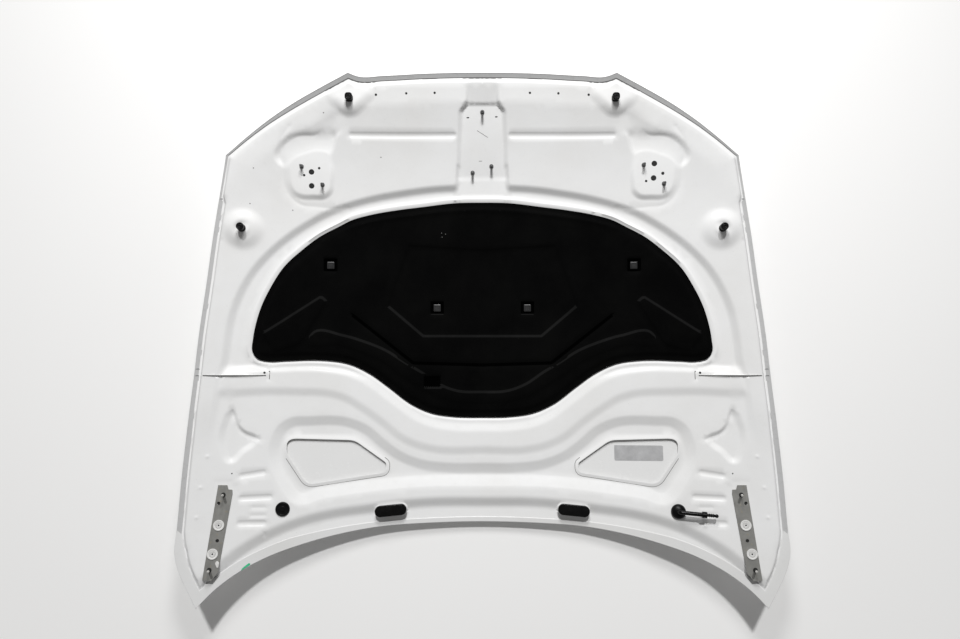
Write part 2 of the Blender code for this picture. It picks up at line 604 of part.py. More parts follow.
def panel_top(points, forms):
    """Height of the inner panel's upper face, the one that the underside shows."""
    points = np.atleast_2d(points).astype(float)
    folded = np.column_stack([np.abs(points[:, 0]), points[:, 1]])
    y_share = points[:, 1] / HALF_LENGTH
    skin = skin_height(points)
    behind_hem = depth_in(points, forms.hem_line)

    flange = SKIN_SHEET + SEAT_GAP + PANEL_SHEET
    change = (y_share - LEVEL_CHANGE_START_SHARE) / (LEVEL_CHANGE_END_SHARE - LEVEL_CHANGE_START_SHARE)
    plateau = PLATEAU_LEVEL + (REAR_LEVEL - PLATEAU_LEVEL) * ease(change)
    nose = ease((y_share - STRIP_FADE_START_SHARE) / (STRIP_FADE_END_SHARE - STRIP_FADE_START_SHARE))
    strip = 1 - ramp((behind_hem - EDGE_WALL_OFFSET - EDGE_WALL / 2) / FRONT_STRIP_WIDTH)
    level = plateau - FRONT_STRIP_DROP * nose * strip

    valley_end = (y_share - VALLEY_END_START_SHARE) / (VALLEY_END_SHARE - VALLEY_END_START_SHARE)
    valley = VALLEY_LEVEL + (REAR_LEVEL - VALLEY_LEVEL) * ease(valley_end)
    level = mixed(level, valley, wall(depth_in(points, forms.ring), RING_WALL))
    level = mixed(level, VALLEY_LEVEL, wall(depth_in(points, forms.channel), PAD_WALL))
    in_liner = depth_in(points, forms.liner)
    rim = wall(in_liner + RIM_MARGIN, RIM_WALL)
    level = mixed(level, RIM_LEVEL, rim)

    front_side = wall(depth_in(points, region_behind(forms.crossmember_front)), CROSSMEMBER_FRONT_WALL)
    rear_side = 1 - wall(depth_in(points, region_behind(forms.crossmember_rear)), CROSSMEMBER_REAR_WALL)
    in_ring = wall(depth_in(points, forms.ring), RING_WALL)
    level = mixed(level, PLATEAU_LEVEL, front_side * rear_side * in_ring)
    level = mixed(level, TRAY_LEVEL, wall(in_liner + TRAY_MARGIN, TRAY_WALL))
    level = mixed(level, TRAY_HOLLOW_LEVEL, wall(in_liner - TRAY_LEDGE, TRAY_HOLLOW_WALL))

    trough_depth = depth_in(points, forms.trough)
    middle_share = (TROUGH_FRONT_SHARES[0][1] + TROUGH_REAR_SHARES[-1][1]) / 2
    toward_rear = ease((middle_share - y_share) / (middle_share - REAR_WALL_SHARES[0][1]) + 0.5)
    trough_wall = TROUGH_FRONT_WALL + (TROUGH_REAR_WALL - TROUGH_FRONT_WALL) * toward_rear
    level = mixed(level, TROUGH_LEVEL, ramp(trough_depth / trough_wall + 0.5))
    lip = wall(depth_in(folded, forms.opening) + OPENING_LIP_MARGIN, OPENING_LIP_WALL)
    level = mixed(level, OPENING_LIP_LEVEL, lip)
    level = mixed(level, CORNER_POCKET_LEVEL, wall(depth_in(folded, forms.pocket), POCKET_WALL))
    boss_place = np.array(plan(SIDE_BOSS_CENTRE_SHARES))
    from_boss = np.hypot(folded[:, 0] - boss_place[0], folded[:, 1] - boss_place[1])
    dome = ease((SIDE_BOSS_RADIUS - from_boss) / (SIDE_BOSS_RADIUS - SIDE_BOSS_TOP_RADIUS))
    level = level + SIDE_BOSS_HEIGHT * dome
    for start, end in REAR_BEAD_SHARES + [GROOVE_SHARES]:
        level = level - BEAD_DEPTH * bead_depth(folded, plan(start), plan(end))

    height = skin + level
    pad = side_pad()
    in_pad = depth_in(folded, forms.side_pad)
    dip = mixed(skin + SIDE_DIP_LEVEL, pad.plane(folded), np.exp(np.minimum(in_pad, 0) / DIP_REACH))
    height = mixed(height, dip, wall(depth_in(folded, forms.side_dip), PAD_WALL))
    height = mixed(height, pad.plane(folded), wall(in_pad, PAD_WALL))
    in_boss = wall(depth_in(folded, forms.front_boss), BOSS_WALL)
    height = mixed(height, front_buffer_pad().plane(folded), in_boss)
    in_centre_pad = wall(depth_in(points, forms.centre_pad), PAD_WALL)
    height = mixed(height, centre_pad().plane(folded), in_centre_pad)
    in_hinge_pad = wall(depth_in(folded, hinge_plate_loop(HINGE_PAD_MARGIN)), EDGE_WALL)
    height = mixed(height, hinge_pad().plane(folded), in_hinge_pad)
    height = with_seats(height, folded, seats())
    edge = wall(behind_hem - EDGE_WALL_OFFSET, EDGE_WALL)
    rear = 1 - wall(depth_in(points, region_behind(forms.rear_wall)), REAR_WALL)
    return with_nozzle_seat(mixed(skin + flange, height, np.minimum(edge, rear)), folded)


def mixed(low, high, share):
    return low * (1 - share) + high * share


def with_seats(height, folded, places):
    for pad, radius in places:
        away = np.hypot(folded[:, 0] - pad.x, folded[:, 1] - pad.y)
        height = mixed(height, pad.plane(folded), ramp(1 - (away - radius) / BEAD_WALL))
    return height


def liner_thickness(points, forms):
    folded = np.column_stack([np.abs(points[:, 0]), points[:, 1]])
    depth = depth_in(points, forms.liner)
    full = wall(depth - LINER_EDGE_WIDTH, LINER_EDGE_WALL)
    thick = mixed(LINER_EDGE_THICKNESS, LINER_THICKNESS, full)
    thick = mixed(thick, LINER_RAISED_THICKNESS, wall(depth_in(points, forms.band), LINER_WALL))
    thick = mixed(thick, LINER_RAISED_THICKNESS, wall(depth_in(folded, forms.fin), LINER_WALL))
    pressed = LINER_THICKNESS - LINER_PRESS_DEPTH
    thick = mixed(thick, pressed, wall(depth_in(points, forms.field), LINER_WALL))
    for place in plan_list(CLIP_SHARES):
        off = np.maximum(np.abs(folded[:, 0] - place[0]), np.abs(folded[:, 1] - place[1]))
        recess = ramp((CLIP_RECESS / 2 + CLIP_RECESS_WALL - off) / CLIP_RECESS_WALL)
        thick = mixed(thick, LINER_EDGE_THICKNESS, recess)
    return thick


# Plan shapes of small pieces

def ring_points(place, radius, sides):
    angles = [2 * math.pi * (k + 0.5) / sides for k in range(sides)]
    return [(place[0] + radius * math.cos(a), place[1] + radius * math.sin(a)) for a in angles]


def box_points(place, width, length):
    half_x, half_y = width / 2, length / 2
    corners = [(half_x, half_y), (-half_x, half_y), (-half_x, -half_y), (half_x, -half_y)]
    return [(place[0] + x, place[1] + y) for x, y in corners]


def hinge_plate_loop(margin=0.0):
    """Outline of the right hinge plate, wider by a margin all round."""
    loop = np.array(plan_list(HINGE_PLATE_SHARES))
    return shifted(loop, np.full(len(loop), -margin) * turn_of(loop), True)


def slit_loop():
    (x1, y1), (x2, y2) = plan(SLIT_START_SHARES), plan(SLIT_END_SHARES)
    half = SLIT_WIDTH / 2
    return [(x1, y1 - half), (x2, y2 - half), (x2, y2 + half), (x1, y1 + half)]


def clip_holes():
    """Round holes for the liner clips' stems, on the right side."""
    return [ring_points(plan(share), CLIP_HOLE_RADIUS, HOLE_SIDES) for share in CLIP_SHARES]


def panel_holes(forms):
    """Closed lines of every hole through the inner panel, on both sides."""
    right = [[tuple(p) for p in forms.opening], slit_loop(),
             ring_points(plan(SLIT_HOLE_SHARES), SLIT_HOLE_RADIUS, HOLE_SIDES),
             ring_points(plan(HINGE_END_HOLE_SHARES), HINGE_END_HOLE_RADIUS, HOLE_SIDES)]
    right += [ring_points(plan(share), FRONT_HOLE_RADIUS, HOLE_SIDES) for share in FRONT_HOLE_SHARES]
    right += clip_holes()
    both = right + [[(-x, y) for x, y in reversed(loop)] for loop in right]
    for side, sign in SIDES:
        both += latch_holes(side, sign)
    return both


def latch_holes(side, sign, centre=(0.0, 0.0), growth=0.0):
    """Round holes of one side latch pad, measured from a centre and wider by a growth."""
    holes = []
    for share, radius_share in LATCH_HOLE_SHARES[side]:
        x, y = plan(share)
        place = (x * sign - centre[0], y - centre[1])
        holes.append(ring_points(place, LATCH_HOLE_RADIUS * radius_share + growth, HOLE_SIDES))
    return holes


# Meshes

class Net:
    """Lines and loose points in plan, triangulated together."""

    def __init__(self):
        self.points = []
        self.edges = []
        self.lines = []

    def add(self, line, closed):
        first = len(self.points)
        count = len(line)
        self.points += [tuple(p) for p in line]
        self.edges += [(first + k, first + k + 1) for k in range(count - 1)]
        if closed:
            self.edges.append((first + count - 1, first))
        self.lines.append((np.array(line), closed))

    def add_wall(self, line, width, closed, keep=None, mirror=False):
        """Both edges of a pressed wall, with only the points that a test keeps."""
        for side in (-0.5, 0.5):
            moved = shifted(line, np.full(len(line), side * width), closed)
            self.add_kept(moved, closed, keep)
            if mirror:
                self.add_kept(moved[::-1] * np.array([-1.0, 1.0]), closed, keep)

    def add_kept(self, line, closed, keep):
        kept = np.ones(len(line), dtype=bool) if keep is None else keep(line)
        if kept.all():
            self.add(line, closed)
            return
        order = list(range(len(line)))
        if closed:
            start = order[int(np.argmin(kept))]
            order = order[start:] + order[:start]
        run = []
        for index in order + [None]:
            if index is not None and kept[index]:
                run.append(line[index])
                continue
            if len(run) > 1:
                self.add(run, False)
            run = []

    def fill(self, spacing, inside):
        """Loose points on a triangular grid, clear of every line."""
        rise = spacing * math.sqrt(3) / 2
        rows = int(HALF_LENGTH / rise) + 1
        columns = int(HALF_WIDTH / spacing) + 1
        grid = [((c + 0.5 * (r % 2)) * spacing + 0.25 * spacing * (-1) ** r, (r + 0.5) * rise)
                for r in range(-rows, rows) for c in range(-columns, columns + 1)]
        grid = np.array(grid)
        grid = grid[is_inside(grid, inside)]
        clear = np.full(len(grid), np.inf)
        for line, closed in self.lines:
            clear = np.minimum(clear, distance_to(grid, line, closed))
        self.points += [tuple(p) for p in grid[clear > spacing * LINE_CLEARANCE_SHARE]]

    def triangles(self, outline, holes):
        """Points and triangles inside the outline and outside every hole."""
        points = [Vector(p) for p in self.points]
        result = delaunay_2d_cdt(points, self.edges, [], 0, MERGE_DISTANCE)
        plan_points = np.array([tuple(p) for p in result[0]])
        faces = np.array(result[2])
        centres = plan_points[faces].mean(axis=1)
        keep = is_inside(centres, outline)
        for hole in holes:
            keep &= ~is_inside(centres, hole)
        faces = faces[keep]
        used = np.unique(faces)
        fresh = np.full(len(plan_points), -1)
        fresh[used] = np.arange(len(used))
        return plan_points[used], turned_left(plan_points[used], fresh[faces])


def turned_left(points, faces):
    """Triangles that all turn left as seen from above."""
    a, b, c = (points[faces[:, k]] for k in range(3))
    area = (b[:, 0] - a[:, 0]) * (c[:, 1] - a[:, 1]) - (b[:, 1] - a[:, 1]) * (c[:, 0] - a[:, 0])
    faces = faces.copy()
    flip = area < 0
    faces[flip] = faces[flip][:, ::-1]
    return faces


def rim_edges(faces):
    """Directed edges that belong to one triangle only."""
    directed = {(int(f[k]), int(f[(k + 1) % 3])) for f in faces for k in range(3)}
    return [(a, b) for a, b in directed if (b, a) not in directed]


def sheet_object(name, look, plan_points, faces, top, bottom):
    """A closed sheet between two heights over one triangulated plan."""
    count = len(plan_points)
    corners = [(x, y, z) for (x, y), z in zip(plan_points, top)]
    corners += [(x, y, z) for (x, y), z in zip(plan_points, bottom)]
    polygons = [tuple(int(i) for i in f) for f in faces]
    polygons += [tuple(int(i) + count for i in reversed(f)) for f in faces]
    for a, b in rim_edges(faces):
        polygons += [(a, a + count, b + count), (a, b + count, b)]
    return object_from(name, look, corners, polygons)


def object_from(name, look, corners, polygons, smooth=math.radians(35)):
    mesh = bpy.data.meshes.new(name)
    mesh.from_pydata(corners, [], polygons)
    mesh.validate()
    mesh.shade_smooth()
    mesh.set_sharp_from_angle(angle=smooth)
    made = bpy.data.objects.new(name, mesh)
    mesh.materials.append(material(name, look))
    bpy.context.collection.objects.link(made)
    return made


# Outer skin with its hem

def outer_skin(forms):
    """Skin sheet whose edge is folded round and back over the inner panel's flange."""
    stack = 2 * SKIN_SHEET + PANEL_SHEET + 2 * SEAT_GAP
    inner_wall = SKIN_SHEET + HEM_NOSE / 3
    lower = skin_net(forms, HEM_NOSE)
    upper = skin_net(forms, inner_wall)
    corners, polygons = [], []
    add_face(corners, polygons, lower, 0.0, True)
    add_face(corners, polygons, upper, SKIN_SHEET, False)
    widths = hem_widths(forms.outline)
    rings = [(HEM_NOSE, 0.0), (0.0, SKIN_SHEET), (0.0, stack - SKIN_SHEET), (HEM_NOSE, stack),
             (widths, stack), (widths, stack - SKIN_SHEET), (inner_wall, stack - SKIN_SHEET),
             (inner_wall, SKIN_SHEET)]
    indices = []
    for inset, rise in rings:
        insets = np.full(len(forms.outline), inset) if np.isscalar(inset) else inset
        ring = shifted(forms.outline, insets, True)
        heights = skin_height(ring) + rise
        indices.append(ring_indices(corners, ring, heights))
    for low, high in zip(indices, indices[1:]):
        for k in range(len(low)):
            after = (k + 1) % len(low)
            polygons += [(low[k], low[after], high[after]), (low[k], high[after], high[k])]
    return object_from("outer_skin", WHITE_PAINT, corners, polygons)


def skin_net(forms, inset):
    """Triangulated plan of the skin inside a small inset, finer near the nose and hem."""
    net = Net()
    border = shifted(forms.outline, np.full(len(forms.outline), inset), True)
    net.add(border, True)
    inner = shifted(forms.outline, hem_widths(forms.outline) + EDGE_WALL_OFFSET - EDGE_WALL / 2, True)
    net.add(inner, True)
    net.add(ring_points((0.0, 0.0), REST_FLAT_RADIUS, SMALL_ROUND_SIDES), True)
    net.fill(SKIN_SPACING, inner)
    return net.triangles(border, [])


def add_face(corners, polygons, net_result, rise, face_down):
    plan_points, faces = net_result
    first = len(corners)
    heights = skin_height(plan_points) + rise
    corners += [(x, y, z) for (x, y), z in zip(plan_points, heights)]
    for face in faces:
        ordered = reversed(face) if face_down else face
        polygons.append(tuple(int(i) + first for i in ordered))


def ring_indices(corners, ring, heights):
    """Indices of a ring's corners, which reuse a corner already made at the same place."""
    made = np.array(corners)
    found = []
    for (x, y), z in zip(ring, heights):
        away = np.abs(made - (x, y, z)).max(axis=1)
        nearest = int(np.argmin(away))
        if away[nearest] > SEAT_GAP / 10:
            corners.append((x, y, z))
            nearest = len(corners) - 1
        found.append(nearest)
    return found


# Inner panel

def inner_panel(forms):
    net = Net()
    inset = SKIN_SHEET + HEM_NOSE / 3 + HEM_CLEARANCE
    border = shifted(forms.outline, np.full(len(forms.outline), inset), True)
    net.add(border, True)
    add_edge_walls(net, forms)
    add_panel_walls(net, forms)
    add_seat_rings(net)
    holes = panel_holes(forms)
    for hole in holes:
        net.add(hole, True)
    net.fill(FIELD_SPACING, forms.hem_line)
    plan_points, faces = net.triangles(border, holes)
    top = panel_top(plan_points, forms)
    return sheet_object("inner_panel", PANEL_PAINT, plan_points, faces, top, top - PANEL_SHEET)


def add_edge_walls(net, forms):
    """The wall that rises behind the hem, and the one along the rear edge."""
    widths = hem_widths(forms.outline)
    ahead_of_rear = region_behind(forms.rear_wall)

    def in_front(line):
        return depth_in(line, ahead_of_rear) < -REAR_WALL / 2

    for offset in (EDGE_WALL_OFFSET - EDGE_WALL / 2, EDGE_WALL_OFFSET + EDGE_WALL / 2):
        line = shifted(forms.outline, widths + offset, True)
        true_depth = depth_in(line, forms.hem_line)
        line = line[true_depth > offset * 0.9]
        if offset < EDGE_WALL_OFFSET:
            net.add(line, True)
        else:
            net.add_kept(line, True, in_front)
    strip_offset = EDGE_WALL_OFFSET + EDGE_WALL / 2 + FRONT_STRIP_WIDTH
    strip = shifted(forms.outline, widths + strip_offset, True)
    net.add_kept(strip, True, lambda line: line[:, 1] > STRIP_FADE_START_SHARE * HALF_LENGTH)

    def inside_edge(line):
        return depth_in(line, forms.hem_line) > EDGE_WALL_OFFSET + EDGE_WALL / 2

    net.add_wall(forms.rear_wall, REAR_WALL, False, inside_edge)


def add_panel_walls(net, forms):
    """Both edges of each pressed wall, where it shows."""
    fade = VALLEY_END_SHARE * HALF_LENGTH

    def clear_of_centre(line):
        return (depth_in(line, forms.channel) < -PAD_WALL / 2) & (line[:, 1] > 2.3 * fade)

    net.add_wall(forms.ring, RING_WALL, True, clear_of_centre)
    front_margin = shifted(forms.liner, np.full(len(forms.liner), -RIM_MARGIN) * liner_turn(forms), True)
    net.add_wall(front_margin, RIM_WALL, True, lambda line: line[:, 1] > fade / 2)
    tray = shifted(forms.liner, np.full(len(forms.liner), -TRAY_MARGIN) * liner_turn(forms), True)
    net.add_wall(tray, TRAY_WALL, True)
    hollow = shifted(forms.liner, np.full(len(forms.liner), TRAY_LEDGE) * liner_turn(forms), True)
    net.add_wall(hollow, TRAY_HOLLOW_WALL, True)

    def outside_tray(line):
        return depth_in(line, forms.liner) < -TRAY_MARGIN - TRAY_WALL

    net.add_wall(forms.crossmember_front, CROSSMEMBER_FRONT_WALL, False, outside_tray)
    net.add_wall(forms.crossmember_rear, CROSSMEMBER_REAR_WALL, False)
    net.add_wall(forms.trough, TROUGH_FRONT_WALL, True)
    net.add_wall(forms.pocket, POCKET_WALL, True, mirror=True)
    lip = shifted(forms.opening, np.full(len(forms.opening), -OPENING_LIP_MARGIN - OPENING_LIP_WALL / 2)
                  * turn_of(forms.opening), True)
    add_both(net, lip)
    net.add_wall(forms.centre_pad, PAD_WALL, True)
    net.add_wall(forms.side_pad, PAD_WALL, True, mirror=True)

    def outside_pad(line):
        folded = np.column_stack([np.abs(line[:, 0]), line[:, 1]])
        return depth_in(folded, forms.side_pad) < -PAD_WALL / 2

    net.add_wall(forms.side_dip, PAD_WALL, True, outside_pad, mirror=True)
    net.add_wall(forms.front_boss, BOSS_WALL, True, mirror=True)
    for start, end in REAR_BEAD_SHARES + [GROOVE_SHARES]:
        add_bead(net, plan(start), plan(end))


def turn_of(loop):
    """1 for a loop that turns left, -1 for one that turns right."""
    x, y = loop[:, 0], loop[:, 1]
    return math.copysign(1.0, float((x * np.roll(y, -1) - np.roll(x, -1) * y).sum()))


def liner_turn(forms):
    return turn_of(forms.liner)


def add_bead(net, start, end):
    """Centre line and foot line of a bead, on both sides."""
    start, end = np.array(start), np.array(end)
    along = (end - start) / np.linalg.norm(end - start)
    across_line = np.array([-along[1], along[0]])
    foot = 1.5 * BEAD_WALL
    middle = [start, end]
    around = [start - along * foot, start + across_line * foot, end + across_line * foot,
              end + along * foot, end - across_line * foot, start - across_line * foot]
    for sign in (1.0, -1.0):
        flip = np.array([sign, 1.0])
        net.add(np.array(middle) * flip, False)
        net.add(np.array(around) * flip, True)


def add_seat_rings(net):
    for pad, radius in seats():
        for sign in (1, -1):
            net.add(np.array(ring_points((pad.x * sign, pad.y), radius, HOLE_SIDES)), True)
    boss = plan(SIDE_BOSS_CENTRE_SHARES)
    for radius in (SIDE_BOSS_RADIUS, (SIDE_BOSS_RADIUS + SIDE_BOSS_TOP_RADIUS) / 2):
        for sign in (1, -1):
            net.add(np.array(ring_points((boss[0] * sign, boss[1]), radius, SMALL_ROUND_SIDES)), True)
    for margin in (HINGE_PAD_MARGIN - EDGE_WALL / 2, HINGE_PAD_MARGIN + EDGE_WALL / 2):
        add_both(net, hinge_plate_loop(margin))
    for reach in (-NOZZLE_SEAT_MARGIN, NOZZLE_SEAT_WALL - NOZZLE_SEAT_MARGIN):
        oval = oval_points(NOZZLE_HALF_LENGTH + reach, NOZZLE_HALF_WIDTH + reach, ROUND_SIDES)
        add_both(net, turned_about(oval, plan(NOZZLE_SHARES), -NOZZLE_HEADING))


def turned_about(loop, centre, heading):
    """A loop turned by a heading and moved to a centre."""
    cos, sin = math.cos(heading), math.sin(heading)
    return np.array([(centre[0] + x * cos - y * sin, centre[1] + x * sin + y * cos) for x, y in loop])


def add_both(net, loop):
    """A loop of the right side and its mirror image."""
    net.add(loop, True)
    net.add(loop[::-1] * np.array([-1.0, 1.0]), True)


# Insulation liner

def insulation_liner(forms):
    net = Net()
    turn = liner_turn(forms)
    net.add(forms.liner, True)
    count = len(forms.liner)
    for depth in (LINER_EDGE_WIDTH - LINER_EDGE_WALL / 2, LINER_EDGE_WIDTH + LINER_EDGE_WALL / 2):
        net.add(shifted(forms.liner, np.full(count, depth * turn), True), True)
    net.add_wall(forms.band, LINER_WALL, True)
    net.add_wall(forms.fin, LINER_WALL, True, mirror=True)
    net.add_wall(forms.field, LINER_WALL, True)
    for place in plan_list(CLIP_SHARES):
        for sign in (1, -1):
            centre = (place[0] * sign, place[1])
            net.add(box_points(centre, CLIP_RECESS, CLIP_RECESS), True)
            outer = CLIP_RECESS + 2 * CLIP_RECESS_WALL
            net.add(box_points(centre, outer, outer), True)
    holes = clip_holes()
    holes += [[(-x, y) for x, y in reversed(loop)] for loop in holes]
    for hole in holes:
        net.add(hole, True)
    net.fill(LINER_SPACING, forms.liner)
    plan_points, faces = net.triangles(forms.liner, holes)
    seat = skin_height(plan_points) + TRAY_LEVEL + LINER_SEAT_GAP
    top = seat + liner_thickness(plan_points, forms)
    return sheet_object("insulation_liner", BLACK_FELT, plan_points, faces, top, seat)


# Turned, stacked and flat pieces

def placed(corners, origin, normal, heading=0.0):
    """Local corners turned about their own axis, stood on a normal and moved to an origin."""
    stand = Vector((0, 0, 1)).rotation_difference(normal).to_matrix()
    turn = Matrix.Rotation(heading, 3, "Z")
    return [tuple(origin + stand @ (turn @ Vector(c))) for c in corners]


def stacked(name, look, layers, origin, normal, heading=0.0):
    """Solid through a stack of loops with equal counts: each layer is a loop and its height."""
    count = len(layers[0][0])
    corners = [(x, y, height) for loop, height in layers for x, y in loop]
    polygons = []
    for row in range(len(layers) - 1):
        for k in range(count):
            a, b = row * count + k, row * count + (k + 1) % count
            polygons.append((a, b, b + count, a + count))
    polygons.append(tuple(reversed(range(count))))
    polygons.append(tuple(range((len(layers) - 1) * count, len(layers) * count)))
    return object_from(name, look, placed(corners, origin, normal, heading), polygons)


def turned_piece(name, look, profile, sides, origin, normal):
    """Solid of revolution from a profile of radius and height."""
    layers = [(ring_points((0.0, 0.0), radius, sides), height) for radius, height in profile]
    return stacked(name, look, layers, origin, normal)


def slab(name, look, loop, thickness, origin, normal, holes=()):
    """Flat plate from a plan loop, with round holes."""
    net = Net()
    net.add([tuple(p) for p in loop], True)
    for one in holes:
        net.add(one, True)
    plan_points, faces = net.triangles(np.array(loop), [np.array(one) for one in holes])
    count = len(plan_points)
    corners = [(x, y, thickness) for x, y in plan_points] + [(x, y, 0.0) for x, y in plan_points]
    polygons = [tuple(int(i) for i in f) for f in faces]
    polygons += [tuple(int(i) + count for i in reversed(f)) for f in faces]
    for a, b in rim_edges(faces):
        polygons += [(a, a + count, b + count, b)]
    return object_from(name, look, placed(corners, origin, normal), polygons)


def swept(name, look, path, radii, sides, origin, normal, heading):
    """Round bar along a path in its own upright plane, given as distance out and height."""
    corners = []
    for k, ((out, height), radius) in enumerate(zip(path, radii)):
        before, after = path[max(k - 1, 0)], path[min(k + 1, len(path) - 1)]
        along = Vector((after[0] - before[0], 0, after[1] - before[1])).normalized()
        up = Vector((-along.z, 0, along.x))
        side = Vector((0, 1, 0))
        for step in range(sides):
            angle = 2 * math.pi * step / sides
            corners.append(tuple(Vector((out, 0, height)) + (side * math.cos(angle)
                                                             + up * math.sin(angle)) * radius))
    polygons = []
    for row in range(len(path) - 1):
        for k in range(sides):
            a, b = row * sides + k, row * sides + (k + 1) % sides
            polygons.append((a, b, b + sides, a + sides))
    polygons.append(tuple(reversed(range(sides))))
    polygons.append(tuple(range((len(path) - 1) * sides, len(path) * sides)))
    return object_from(name, look, placed(corners, origin, normal, heading), polygons)


def stud(name, origin, normal, length):
    """Threaded stud: a thin collar and a plain shank with a chamfered end."""
    profile = [(STUD_COLLAR_RADIUS, 0.0), (STUD_COLLAR_RADIUS, STUD_COLLAR_THICKNESS),
               (STUD_RADIUS, STUD_COLLAR_THICKNESS), (STUD_RADIUS, length - STUD_CHAMFER),
               (STUD_RADIUS - STUD_CHAMFER, length)]
    return turned_piece(name, ZINC, profile, HOLE_SIDES, origin + normal * SEAT_GAP, normal)


def buffer(name, origin, normal, radius, height):
    """Rubber buffer: a foot, a slight waist and a head with a dished end."""
    waist = radius - BUFFER_WAIST
    profile = [(radius, 0.0), (radius, BUFFER_FOOT_HEIGHT), (waist, BUFFER_FOOT_HEIGHT + BUFFER_WAIST),
               (waist, height / 2), (radius, height / 2 + BUFFER_WAIST), (radius, height - BUFFER_WAIST),
               (radius - BUFFER_WAIST, height), (radius - BUFFER_RIM, height),
               (radius - BUFFER_RIM, height - BUFFER_DISH)]
    return turned_piece(name, BLACK_RUBBER, profile, SMALL_ROUND_SIDES, origin + normal * SEAT_GAP, normal)


def mirrored(vector):
    return Vector((-vector.x, vector.y, vector.z))


def seat_of(place, level):
    """The point and normal of a seat at a level above the skin, on either side."""
    pad = Pad((abs(place[0]), place[1]), level)
    normal = pad.normal() if place[0] >= 0 else mirrored(pad.normal())
    return Vector((place[0], place[1], pad.height)), normal


def on_pad(pad, place, sign):
    """A place on a right-hand pad, or on its mirror image where the sign is -1."""
    point = pad.point(*place)
    normal = pad.normal()
    if sign < 0:
        return mirrored(point), mirrored(normal)
    return point, normal


def buffers():
    front, side_pads = front_buffer_pad(), side_buffer_pad()
    for side, sign in SIDES:
        origin, normal = on_pad(front, (front.x, front.y), sign)
        buffer("front_buffer_" + side, origin, normal, FRONT_BUFFER_RADIUS, FRONT_BUFFER_HEIGHT)
        origin, normal = on_pad(side_pads, (side_pads.x, side_pads.y), sign)
        buffer("side_buffer_" + side, origin, normal, SIDE_BUFFER_RADIUS, SIDE_BUFFER_HEIGHT)


def behind_panel(origin, normal):
    """The place of a plate whose face lies just behind the panel at a seat."""
    return origin - Vector((0, 0, PANEL_SHEET)) - normal * (SEAT_GAP + REINFORCEMENT_SHEET)


def latch_parts():
    for side, sign in SIDES:
        pad = side_pad()
        for number, share in enumerate(LATCH_STUD_SHARES[side], 1):
            origin, normal = on_pad(pad, plan(share), sign)
            stud("latch_stud_%s_%d" % (side, number), origin, normal, LATCH_STUD_LENGTH)
        loop = box_points((0.0, 0.0), SIDE_REINFORCEMENT_WIDTH, SIDE_REINFORCEMENT_LENGTH)
        origin, normal = on_pad(pad, (pad.x, pad.y), sign)
        slab("latch_reinforcement_" + side, ZINC, loop, REINFORCEMENT_SHEET,
             behind_panel(origin, normal), normal,
             latch_holes(side, sign, (pad.x * sign, pad.y), REINFORCEMENT_HOLE_GROWTH))
    pad = centre_pad()
    for number, share in enumerate(CENTRE_LATCH_STUD_SHARES, 1):
        origin, normal = on_pad(pad, plan(share), 1)
        stud("centre_latch_stud_%d" % number, origin, normal, LATCH_STUD_LENGTH)
    loop = box_points((0.0, 0.0), CENTRE_REINFORCEMENT_WIDTH, CENTRE_REINFORCEMENT_LENGTH)
    origin, normal = on_pad(pad, (pad.x, pad.y), 1)
    slab("latch_reinforcement_centre", ZINC, loop, REINFORCEMENT_SHEET, behind_panel(origin, normal), normal)


def hinge_parts():
    pad = hinge_pad()
    for side, sign in SIDES:
        loop = [((x - pad.x) * sign, y - pad.y) for x, y in hinge_plate_loop()]
        holes = []
        for share in HINGE_HOLE_SHARES:
            x, y = plan(share)
            holes.append(ring_points(((x - pad.x) * sign, y - pad.y), HINGE_HOLE_RADIUS, HOLE_SIDES))
        centre, normal = on_pad(pad, (pad.x, pad.y), sign)
        slab("hinge_plate_" + side, BARE_METAL, loop, HINGE_PLATE_SHEET, centre + normal * SEAT_GAP,
             normal, holes)
        on_plate = normal * (SEAT_GAP + HINGE_PLATE_SHEET)
        for number, share in enumerate(HINGE_DISC_SHARES, 1):
            origin, _ = on_pad(pad, plan(share), sign)
            disc("hinge_disc_%s_%d" % (side, number), origin + on_plate, normal)
        for number, share in enumerate(HINGE_STUD_SHARES, 1):
            origin, _ = on_pad(pad, plan(share), sign)
            stud("hinge_stud_%s_%d" % (side, number), origin + on_plate, normal, HINGE_STUD_LENGTH)


def disc(name, origin, normal):
    """Flat disc with a raised rim and a small dimple in its middle."""
    rim = HINGE_DISC_RADIUS - HINGE_DISC_RIM
    profile = [(HINGE_DISC_RADIUS, 0.0), (HINGE_DISC_RADIUS, HINGE_DISC_THICKNESS),
               (rim, HINGE_DISC_THICKNESS), (rim, HINGE_DISC_THICKNESS - HINGE_DISC_STEP),
               (HINGE_DISC_DIMPLE, HINGE_DISC_THICKNESS - HINGE_DISC_STEP),
               (HINGE_DISC_DIMPLE, HINGE_DISC_STEP)]
    return turned_piece(name, PALE_RING, profile, ROUND_SIDES, origin + normal * SEAT_GAP, normal)


def liner_clips():
    """Square clip heads in the liner's recesses, with stems through the liner and the panel."""
    half = CLIP_HEAD / 2
    lean = half - CLIP_CHAMFER
    for number, (share, sign) in enumerate([(s, g) for s in CLIP_SHARES for _, g in SIDES], 1):
        x, y = plan(share)
        level = TRAY_LEVEL + LINER_SEAT_GAP + LINER_EDGE_THICKNESS
        origin, normal = seat_of((x * sign, y), level)
        stem = ring_points((0.0, 0.0), CLIP_STEM_RADIUS, HOLE_SIDES)
        layers = [(stem, -CLIP_STEM_LENGTH), (stem, 0.0), (square_points(half), 0.0),
                  (square_points(half), CLIP_HEIGHT - CLIP_CHAMFER), (square_points(lean), CLIP_HEIGHT)]
        stacked("liner_clip_%d" % number, BLACK_PLASTIC, layers, origin + normal * SEAT_GAP, normal)


